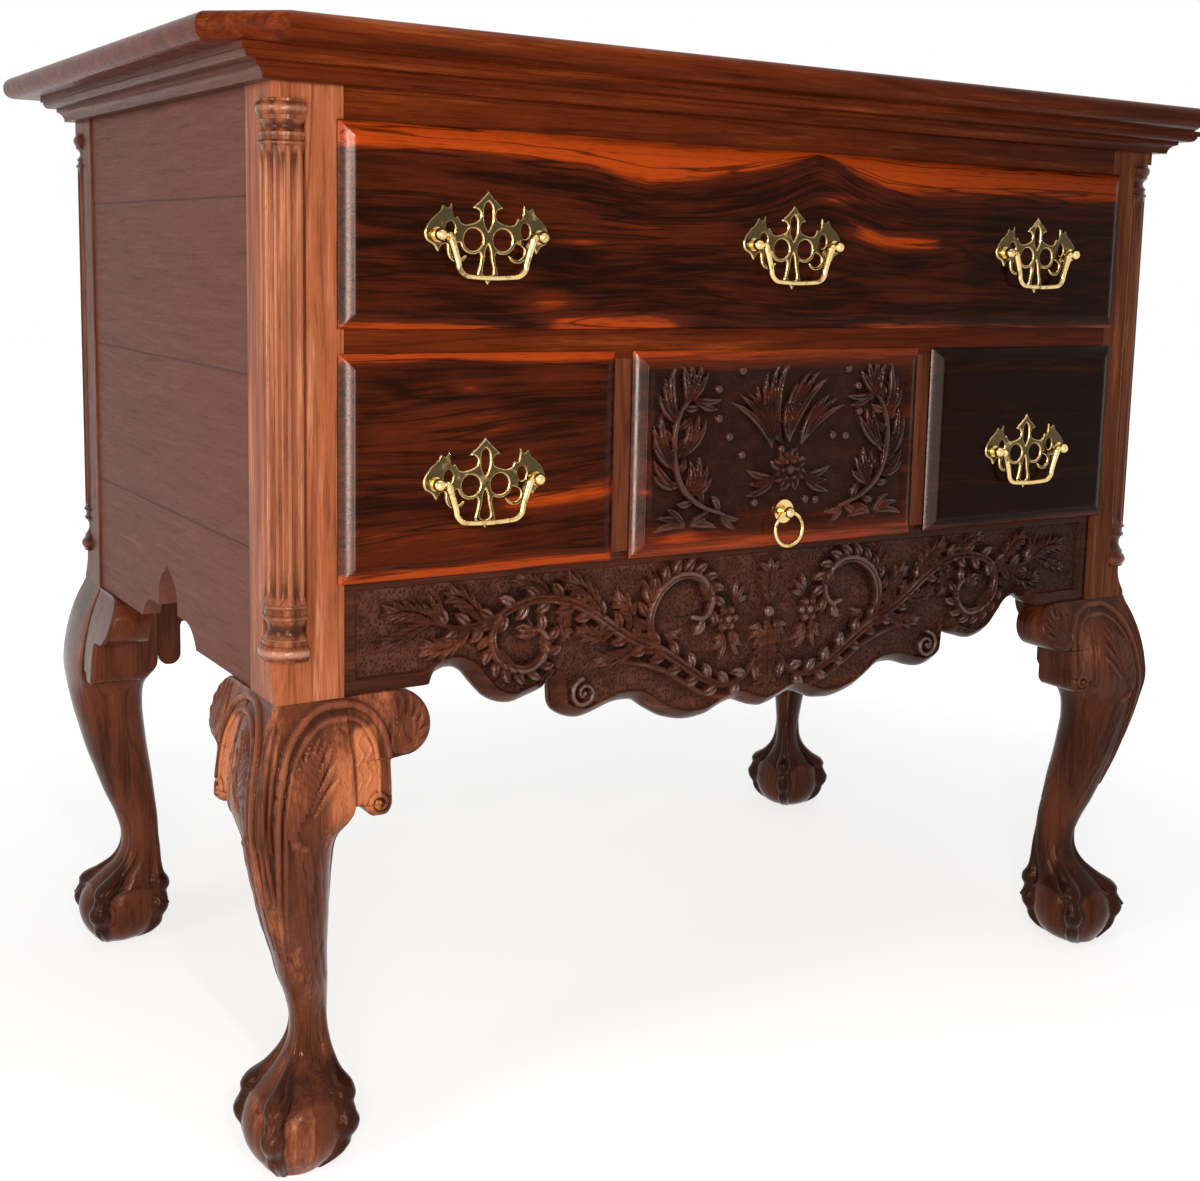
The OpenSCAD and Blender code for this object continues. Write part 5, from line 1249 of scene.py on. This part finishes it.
def figureField(gridX, gridZ, place):
    # the level rises evenly between neighbouring flow lines; warmth adds a bell for each band and each spot
    flow = np.array(place["lines"], float)
    level = np.zeros(gridX.shape)
    columns = gridX[:, 0]
    heights = [np.interp(columns, place["stations"], row)[:, None] for row in flow]
    for k in range(len(heights) - 1):
        share = np.clip((gridZ - heights[k]) / (heights[k + 1] - heights[k]), 0, 1)
        level += (place["levels"][k + 1] - place["levels"][k]) * share
    warm = np.full(gridX.shape, place["ground"])
    for middle, half, x0, x1, strength in place["bands"]:
        reach = smoothStep(x0 - 12, x0 + 25, gridX) * smoothStep(x1 + 12, x1 - 25, gridX)
        warm += strength * reach * np.exp(-np.abs((level - middle) / half) ** 2.6)
    for sx, sz, halfX, halfZ, strength in place["spots"]:
        warm += strength * np.exp(-((gridX - sx) / halfX) ** 2 - ((gridZ - sz) / halfZ) ** 2)
    return level, warm


def carveMiddleFront(relief):
    # a flower with plumes above it between two branches that bend like brackets, and small sprigs below
    flower = (5, 465)
    around = lambda radiusX, radiusZ, a: (flower[0] + radiusX * math.cos(a),
                                          flower[1] + radiusZ * math.sin(a))
    for k in range(8):
        a = math.radians(22 + k * 45)
        relief.blade(around(4, 4, a), around(19, 18, a), 0.15, 6.0, 3.4, 0.5)
    relief.boss(flower, 5.0, 4.6)
    for k in range(6):
        relief.boss(around(7, 7, k * math.pi / 3), 2.8, 3.8)
    # plumes: long blades that rise and curl over to the right and to the left
    relief.fan((-3, 486), [(-27, 530), (-18, 540), (-8, 547), (2, 549)], 0.26, 4.4, 4.2)
    relief.fan((4, 486), [(42, 536), (33, 541), (23, 541), (12, 534), (4, 522)], 0.22, 4.0, 4.2)
    relief.fan((16, 484), [(60, 514), (53, 520), (44, 522), (35, 518)], 0.2, 3.4, 3.6)
    relief.fan((-12, 482), [(-54, 519), (-46, 525), (-37, 526), (-28, 519)], -0.2, 3.4, 3.6)
    relief.fan((-8, 460), [(-36, 446), (-34, 456), (-36, 467)], 0.2, 4.0, 3.2)
    relief.fan((18, 460), [(46, 446), (44, 456), (46, 467)], -0.2, 4.0, 3.2)
    beads = ((-52, 492), (47, 490), (60, 489), (-27, 441), (22, 441), (32, 440), (-3, 481), (60, 541),
             (-42, 541), (-63, 528), (71, 528), (-40, 478), (-62, 506), (73, 508))
    for bead in beads:
        relief.boss(bead, 3.6, 3.2)
    stem = [(56, 434), (78, 442), (94, 456), (101, 474), (102, 494), (97, 512), (86, 524)]
    # root, tips, bend, width and height of the leaves on the right branch; the left one mirrors it
    leaves = (((86, 450), [(88, 477), (79, 479), (71, 472), (67, 462)], 0.14, 4.2, 4.0),
              ((98, 478), [(73, 506), (80, 511), (88, 509)], 0.2, 4.0, 4.0),
              ((100, 470), [(120, 492), (120, 503), (113, 512)], -0.2, 4.2, 4.0),
              ((98, 456), [(120, 467), (119, 478)], -0.2, 4.0, 3.4),
              ((100, 504), [(116, 526), (110, 537), (103, 546)], -0.18, 4.2, 4.0),
              ((92, 518), [(97, 547), (89, 549), (80, 548), (73, 541)], 0.12, 3.8, 4.0),
              ((86, 522), [(59, 521), (62, 513)], 0.2, 3.6, 3.6),
              ((92, 427), [(120, 424), (117, 434), (108, 441)], 0.2, 3.6, 3.4),
              ((86, 427), [(62, 424), (68, 434)], -0.2, 3.6, 3.4),
              ((58, 434), [(41, 430), (45, 422)], 0.2, 3.2, 3.2))
    for side in (-1, 1):
        relief.vine([(side * x, z) for x, z in stem], [1.8, 3.2, 3.2, 2.0], [2.8, 3.8, 3.8, 2.8], 15, 8.5,
                    thick=0.26)
        for root, tips, bend, width, height in leaves:
            turned = [(side * x, z) for x, z in tips]
            relief.fan((side * root[0], root[1]), turned, side * bend, width, height)


def makeFront(name, look, place):
    # y(x, z): the lip's face; near the edge it steps in by the fillet, then falls by w (slope s + curve s^3),
    # s from 0 to 1; behind the lip stands the board, drawn in to the opening
    middle, width, low, high = place["open"]
    x0, x1 = middle - width / 2 - look["lipOver"], middle + width / 2 + look["lipOver"]
    z0, z1 = low - look["lipOver"], low + high + look["lipOver"]
    wide = look["round"]
    edge = np.concatenate([np.linspace(0, wide, look["edgeRows"])[1:],
                           [wide + 0.25, wide + 0.5, wide + 0.75]])
    inner = lambda a, b: np.linspace(a, b, max(4, int((b - a) / place["step"])))
    stations = lambda a, b: np.concatenate([[a], a + edge, inner(a + edge[-1], b - edge[-1])[1:-1],
                                            (b - edge)[::-1], [b]])
    gridX, gridZ = np.meshgrid(stations(x0, x1), stations(z0, z1), indexing="ij")
    gap = np.minimum(np.minimum(gridX - x0, x1 - gridX), np.minimum(gridZ - z0, z1 - gridZ))
    s = 1 - np.clip(gap / wide, 0, 1)
    drop = wide * (look["slope"] * s + look["curve"] * s ** 3)
    drop += look["fillet"] * smoothStep(wide + look["filletWide"], wide, gap)
    face = caseSize["frontY"] - look["lipGap"] - look["lipThick"]
    carving, carved, shade, deepen = 0.0, np.ones(gridX.shape), np.full(gridX.shape, 0.5), 0.0
    # the lip is polished; its left side mirrors most and whitest, a painted sheen that stands in for the
    # highlight there
    onLip = smoothStep(wide + 0.8, wide - 0.4, gap)
    polishAndSheen = onLip * (look["edgePolish"] + (1 - look["edgePolish"]) * smoothStep(0.5, -0.5, gridX - x0 - gap))
    if name == "middle":
        relief = Relief(gridX, gridZ)
        carveMiddleFront(relief)
        nearEdge = smoothStep(wide + 0.7, wide + 3, gap)
        inside = smoothStep(wide + 0.7, wide + 9, gap)
        post = smoothStep(*look["postRoom"], np.hypot(gridX, gridZ - look["postZ"]))
        height = np.minimum(relief.height, look["carvingHigh"]) * nearEdge * post
        # the ground ends in a wavy line above and below
        ground = inside * post * smoothStep(*look["groundFrom"], gridZ + 4 * np.sin(gridX / 14))
        ground = ground * smoothStep(*look["groundTo"], gridZ + 3 * np.sin(gridX / 17))
        carving = np.maximum(look["sunk"] * ground - height, -look["carvingOver"])
        carved = 1 - ground * (1 - np.clip(relief.height / look["carvingWhole"], 0, 1))
        shade = 0.5 + (relief.shade(look["shadeReach"], look["shadeDepth"]) - 0.5) * nearEdge
        polishAndSheen = np.maximum(polishAndSheen, look["crestPolish"] * smoothStep(*look["crest"], shade))
        deepen = look["deepen"] * ground
    gridY = face + drop + carving
    level, warm = figureField(gridX, gridZ, place)
    warm = warm * (1 - deepen) + look["deepWarm"] * deepen
    figure = np.stack([gridX / perMetre, gridY / perMetre, z0 / perMetre + level * (z1 - z0) / perMetre], -1)
    rows, cols = gridX.shape
    index = np.arange(rows * cols).reshape(rows, cols)
    border = np.concatenate([index[:, 0], index[-1, 1:], index[-2::-1, -1], index[0, -2:0:-1]])
    points = np.stack([gridX, gridY, gridZ], -1).reshape(-1, 3)
    # three rings lead from the lip's edge to the board's back
    loop = points[border]
    boardWidth = width - 2 * look["sideGap"]
    boardLow, boardHigh = low + look["runGap"], low + high - look["topGap"]
    shrunk = loop.copy()
    shrunk[:, 0] = middle + (loop[:, 0] - middle) * boardWidth / (x1 - x0)
    shrunk[:, 2] = boardLow + (loop[:, 2] - z0) * (boardHigh - boardLow) / (z1 - z0)
    lipBack, boardBack = caseSize["frontY"] - look["lipGap"], caseSize["frontY"] + look["thick"]
    rings = [ring.copy() for ring in (loop, shrunk, shrunk)]
    for ring, y in zip(rings, (lipBack, lipBack, boardBack)):
        ring[:, 1] = y
    allPoints = np.concatenate([points] + rings + [[[middle, boardBack, (z0 + z1) / 2]]])
    bands = np.concatenate([border[None], len(points) + np.arange(3 * len(border)).reshape(3, -1)])
    quads = [gridQuads(rows, cols)[:, ::-1]]
    for upper, lower in zip(bands[:-1], bands[1:]):
        quads.append(np.stack([upper, lower, np.roll(lower, -1), np.roll(upper, -1)], -1))
    triangles = fanTriangles(bands[-1], len(allPoints) - 1)
    # the fields run on over the board with plain values
    extra = len(allPoints) - len(points)
    fields = {"figure": np.concatenate([figure.reshape(-1, 3), allPoints[len(points):] / perMetre])}
    plain = {"warm": (warm, look["backWarm"]), "polishAndSheen": (polishAndSheen, 0)}
    if name == "middle":
        plain = {**plain, "relief": (carved, 1), "shade": (shade, 0.5)}
    for fieldName, (values, behind) in plain.items():
        fields[fieldName] = np.concatenate([values.ravel(), np.full(extra, float(behind))])
    return allPoints, np.concatenate(quads), triangles, fields


for frontName, place in fronts.items():
    shape, quads, triangles, fields = makeFront(frontName, frontLook, place)
    frontWood = woods["carvedFront" if frontName == "middle" else "figuredFront"]
    meshPiece(frontName + "_front", shape, quads, triangles, frontName + "_drawer", "figured_front",
              frontWood, stands=(frontName + "_drawer_front",), fields=fields, sharp=35)
print("drawer fronts made")

# pulls: pierced plates with rounded edges, and swan-necked bails
upperPull, lowerPull = 634.5, 470.0
faceY = caseSize["frontY"] - frontLook["lipGap"] - frontLook["lipThick"]
plateLook = {
    "thick": 1.6, "rim": 0.5, "crown": 1.7, "step": 0.6, "snap": 0.55,
    "gridX": (-48, 48.01), "gridZ": (-34, 31.5), "rimHighlight": (1.3, 0.35),
    # on the upper parts of the wings the rim's painted highlight is weaker, by this share, from these places
    # outwards and up
    "wingsLessHighlight": 0.7, "wingX": (20, 26), "wingZ": (-1, 5),
    "outline": [(0, 30), (3, 26.5), (6, 23.5), (11.5, 18.4), (8, 17.2), (5.9, 14.5), (7, 10.6), (11, 8.6),
                (16, 7.6), (20, 8.6), (22.4, 12.6), (24.6, 11.8), (26, 15.5), (26.6, 21.8), (29.6, 18),
                (33.2, 19.8), (35.6, 15.8), (40, 12), (44.4, 7), (46.6, 1), (45, -4), (40, -7),
                (36.8, -11.2), (34, -6.8), (30.6, -6.2), (30.2, -10.5), (28.6, -15), (25, -17.7),
                (20.5, -17.9), (16.8, -15.8), (15.4, -12.8), (17.6, -13.2), (19.8, -14.7), (23, -15.2),
                (26, -13.4), (27.2, -10.4), (26.4, -7.6), (23.8, -5.8), (20.8, -5.2), (19.6, -8),
                (17, -10.7), (13, -12.4), (9, -12.3), (6.6, -11.4), (5.6, -14), (6.3, -19), (7.8, -24.5),
                (7.4, -27), (4.6, -28.6), (2, -30), (0, -33)],
    "middleHoles": [[(0, 22.5), (2.6, 19.5), (3.2, 13), (2.6, 8.5), (0, 3.2)],
                    [(0, -5.5), (1.5, -10), (2.3, -16), (3.7, -22), (3.2, -25.3), (0, -26.8)]],
    "sideHoles": [[(11 + 6.9 * math.cos(k * math.pi / 6), -2.6 + 7.1 * math.sin(k * math.pi / 6))
                   for k in range(12)],
                  [(25, 2), (27, -1), (30, 0), (31.2, 4), (29.5, 8), (26.8, 8.4), (25, 5.5)]],
}


def signedGap(points, loops):
    # distance to the nearest edge of the loops, positive inside by the even-odd rule, and that edge's
    # nearest point
    a = np.concatenate(loops)
    run = np.concatenate([np.roll(loop, -1, 0) for loop in loops]) - a
    gaps, places = [], []
    for part in np.array_split(points, 8):
        t = np.clip(((part[:, None] - a) * run).sum(-1) / ((run ** 2).sum(-1) + 1e-12), 0, 1)
        nearest = a + t[..., None] * run
        far = np.linalg.norm(part[:, None] - nearest, axis=-1)
        best = far.argmin(1)
        high, px, py = a[:, 1] + run[:, 1], part[:, :1], part[:, 1:]
        slope = run[:, 0] / np.where(np.abs(run[:, 1]) < 1e-12, 1e-12, run[:, 1])
        crossed = ((a[:, 1] > py) != (high > py)) & (px < a[:, 0] + (py - a[:, 1]) * slope)
        rows = np.arange(len(part))
        gaps.append(far[rows, best] * np.where(crossed.sum(1) % 2 == 1, 1, -1))
        places.append(nearest[rows, best])
    return np.concatenate(gaps), np.concatenate(places)


def makePlate(look):
    # a grid cut to the outline: height = rim + (thick - rim) sqrt(1 - (1 - gap / crown)^2) with the gap
    # from the outline
    def halfToWhole(half):
        # the right half as a smooth line, and its mirror
        line = smoothLine(half, 4)
        return np.vstack([line, line[-2:0:-1] * (-1, 1)])

    closedLoop = lambda points: smoothLine(list(points) + [points[0]], 3)[:-1]
    loops = [halfToWhole(look["outline"])] + [halfToWhole(h) for h in look["middleHoles"]]
    for hole in look["sideHoles"]:
        loops += [closedLoop(hole), closedLoop(hole) * (-1, 1)]
    u, v = np.arange(*look["gridX"], look["step"]), np.arange(*look["gridZ"], look["step"])
    gridU, gridV = np.meshgrid(u, v, indexing="ij")
    points = np.stack([gridU.ravel(), gridV.ravel()], -1)
    gap, nearest = signedGap(points, loops)
    snap = np.abs(gap) < look["snap"] * look["step"]
    good = (gap > 0) | snap
    points = np.where(snap[:, None], nearest, points)
    rise = 1 - np.clip(gap / look["crown"], 0, 1)
    height = look["rim"] + (look["thick"] - look["rim"]) * np.sqrt(np.clip(1 - rise ** 2, 0, 1))
    quads = gridQuads(len(u), len(v))
    count = good[quads].sum(1)
    inside = gap[quads].mean(1) > 0
    full = quads[(count == 4) & inside]
    partly = quads[(count == 3) & inside]
    triangles = np.array([row[good[row]] for row in partly]).reshape(-1, 3)
    cells = np.concatenate([full[:, [0, 1, 2]], full[:, [0, 2, 3]], triangles])
    used, cells = np.unique(cells, return_inverse=True)
    cells = cells.reshape(-1, 3)
    points, height, size = points[used], np.where(snap, look["rim"], height)[used], len(used)
    edges = np.concatenate([cells[:, [0, 1]], cells[:, [1, 2]], cells[:, [2, 0]]])
    code, back = edges[:, 0] * size + edges[:, 1], edges[:, 1] * size + edges[:, 0]
    rim = edges[~np.isin(code, back)]
    front = np.stack([points[:, 0], -height, points[:, 1]], -1)
    rear = np.stack([points[:, 0], np.zeros(size), points[:, 1]], -1)
    walls = np.stack([rim[:, 1], rim[:, 0], rim[:, 0] + size, rim[:, 1] + size], -1)
    # rims stay bright, partly worn polish and partly a painted highlight, less so on the upper parts of the
    # wings
    bright = smoothStep(*look["rimHighlight"], np.where(snap, 0, gap)[used])
    lessHighlight = look["wingsLessHighlight"] * smoothStep(*look["wingX"], np.abs(points[:, 0]))
    bright *= 1 - lessHighlight * smoothStep(*look["wingZ"], points[:, 1])
    faces = np.concatenate([cells, cells[:, ::-1] + size])
    return np.concatenate([front, rear]), walls, faces, {"rim": np.concatenate([bright, bright])}


plateShape, plateWalls, plateCells, plateFields = makePlate(plateLook)
bailLook = {
    "postGap": 76.0, "head": 4.4, "headGap": 0.5, "pinDeep": 2.7, "pinRadius": 1.55, "endRadius": 2.9,
    "elbow": 0.3, "shoulder": 0.15, "neckIn": 2.6, "neckDrop": 11, "neckRadius": 2.45,
    "lean": 4.7, "bend": 9.0, "radius": 1.8, "footSwell": 0.5, "slim": 0.05,
    "drop": 27.0, "sag": 0.7, "out": 6.5, "around": 24, "steps": 5,
}


def bailPath(look):
    # right half from the pin over an elbow, a neck and a bend to the lowest point, as x, z and radius,
    # then mirrored
    pinX = look["postGap"] / 2 - look["head"] + look["pinDeep"]
    elbow = look["endRadius"] + look["elbow"]
    legX = look["postGap"] / 2 - look["head"] - look["headGap"] - look["endRadius"]
    footX, bend, low = legX - look["lean"], look["bend"], -look["drop"]
    line = [(pinX, 0, look["pinRadius"]), (legX + elbow + look["shoulder"], 0, look["pinRadius"])]
    for a in (15, 40, 65, 90):
        a = math.radians(a)
        line.append((legX + elbow - elbow * math.sin(a), elbow * math.cos(a) - elbow,
                     look["endRadius"] - 0.1))
    line.append((legX - look["neckIn"], -look["neckDrop"], look["neckRadius"]))
    for a in (0, 22.5, 45, 67.5, 90):
        a = math.radians(a)
        line.append((footX - bend + bend * math.cos(a), bend - look["drop"] - bend * math.sin(a),
                     look["radius"] + look["footSwell"] * math.cos(a) - look["slim"]))
    line += [((footX - bend) / 2, low - 0.5, look["radius"] - look["slim"]),
             (0, low - look["sag"], look["radius"])]
    whole = line + [(-x, z, r) for x, z, r in line[-2::-1]]
    smooth = smoothLine(whole[1:-1], look["steps"])
    return np.vstack([whole[0], smooth, whole[-1]])


def bailPiece(name, middle, z, body, stands, look):
    # rings of radius r round the path, square to it
    path = bailPath(look)
    along = np.gradient(path[:, :2], axis=0)
    along /= np.linalg.norm(along, axis=1, keepdims=True)
    a = np.linspace(0, 2 * np.pi, look["around"], endpoint=False)
    r = path[:, 2:3]
    x = path[:, :1] + r * np.cos(a) * along[:, 1:]
    y = r * np.sin(a) * np.ones_like(x)
    up = path[:, 1:2] - r * np.cos(a) * along[:, :1]
    axisY = faceY - plateLook["thick"] - look["out"]
    rings = np.stack([x + middle, y + axisY, up + z], -1)
    loftPiece(name, rings, body, "brass", brass, stands=(stands,), sharp=60)


# middle, height, drawer and the node of the plates that it replaces
pulls = {
    "upper_left": (-257.0, upperPull, "upper_drawer", "upper_plates"),
    "upper_middle": (0.0, upperPull, "upper_drawer", "upper_plates"),
    "upper_right": (257.0, upperPull, "upper_drawer", "upper_plates"),
    "left": (-257.0, lowerPull, "left_drawer", "left_plate"),
    "right": (257.0, lowerPull, "right_drawer", "right_plate"),
}
for pullName, (middle, z, drawer, plateNode) in pulls.items():
    placed = plateShape + np.array([middle, faceY, z])
    meshPiece("plate_" + pullName, placed, plateWalls, plateCells, drawer, "brass", plateBrass,
              stands=(plateNode,), fields=plateFields, sharp=50)
    bailPiece("bail_" + pullName, middle, z, pullName + "_pull", pullName + "_bail", bailLook)
print("pulls made")


# floor, light and background
stageLook = {
    "half": 9.0, "grey": 0.5, "rough": 0.8, "specular": 0.1, "own": 0.74, "bounce": 0.2,
    "whiteFrom": 0.5, "whiteTo": 1.6, "worldSeen": 0.83, "worldFill": 0.17,
}
# place and target in metres, size, watts and colour
lamps = {
    "keyLight": ((-0.98, -1.42, 0.54), (-0.12, -0.1, 0.5), (0.26, 0.9), 10.5, (1, 0.97, 0.94)),
    "flashLight": ((-0.62, -1.36, 0.86), (-0.05, -0.2, 0.5), (0.045, 0.045), 4.0, (1, 1, 1)),
    "windowLight": ((-2.6, -0.8, 1.0), (-0.2, -0.1, 0.5), (0.7, 1.2), 19, (1, 0.95, 0.91)),
    "topLight": ((0.0, -0.3, 2.7), (0, 0, 0.3), (1.5, 1.5), 17, (1, 1, 1)),
}


def seenRays(w):
    # 1 for rays that show the background: the camera's, mirrored ones and those through glass
    kinds = w.node("ShaderNodeLightPath").outputs
    mirrored = w.math("MAXIMUM", kinds["Is Glossy Ray"], kinds["Is Transmission Ray"])
    return w.math("MAXIMUM", kinds["Is Camera Ray"], mirrored)


def makeStage(look):
    # a flat floor: its own glow and the light on it make it pale, so the shadow shows; it whitens between
    # whiteFrom and whiteTo metres
    mesh = bpy.data.meshes.new("floor")
    h = look["half"]
    mesh.from_pydata([(-h, -h, 0), (h, -h, 0), (h, h, 0), (-h, h, 0)], [], [(0, 1, 2, 3)])
    material = bpy.data.materials.new("paleFloor")
    material.use_nodes = True
    w = Wiring(material.node_tree)
    shader = material.node_tree.nodes["Principled BSDF"]
    place = w.node("ShaderNodeTexCoord").outputs["Object"]
    far = w.node("ShaderNodeVectorMath", operation="LENGTH")
    w.join(place, far.inputs[0])
    white = w.span(far.outputs["Value"], look["whiteFrom"], look["whiteTo"])
    shader.inputs["Base Color"].default_value = (look["grey"], look["grey"], look["grey"], 1)
    shader.inputs["Roughness"].default_value = look["rough"]
    shader.inputs["Specular IOR Level"].default_value = look["specular"]
    shader.inputs["Emission Color"].default_value = (1, 1, 1, 1)
    shown = w.span(white, 0.0, 1.0, look["own"], 1.0)
    glow = w.plus(w.times(seenRays(w), w.minus(shown, look["bounce"])), look["bounce"])
    w.join(glow, shader.inputs["Emission Strength"])
    mesh.materials.append(material)
    floor = bpy.data.objects.new("floor", mesh)
    bpy.context.scene.collection.objects.link(floor)


def areaLight(name, place, target, size, power, color):
    # a rectangle that shines from its place towards the target
    data = bpy.data.lights.new(name, "AREA")
    data.shape = "RECTANGLE"
    data.size, data.size_y = size
    data.energy = power
    data.color = color
    light = bpy.data.objects.new(name, data)
    light.location = place
    light.rotation_euler = (Vector(target) - Vector(place)).to_track_quat("-Z", "Y").to_euler()
    bpy.context.scene.collection.objects.link(light)


makeStage(stageLook)
for lampName, values in lamps.items():
    areaLight(lampName, *values)
world = bpy.data.worlds.new("studio")
world.use_nodes = True
w = Wiring(world.node_tree)
background = world.node_tree.nodes["Background"]
background.inputs["Color"].default_value = (1, 1, 1, 1)
strength = w.plus(w.times(seenRays(w), stageLook["worldSeen"]), stageLook["worldFill"])
w.join(strength, background.inputs["Strength"])
bpy.context.scene.world = world
bpy.context.scene.view_settings.view_transform = "Standard"
print("stage and light set")
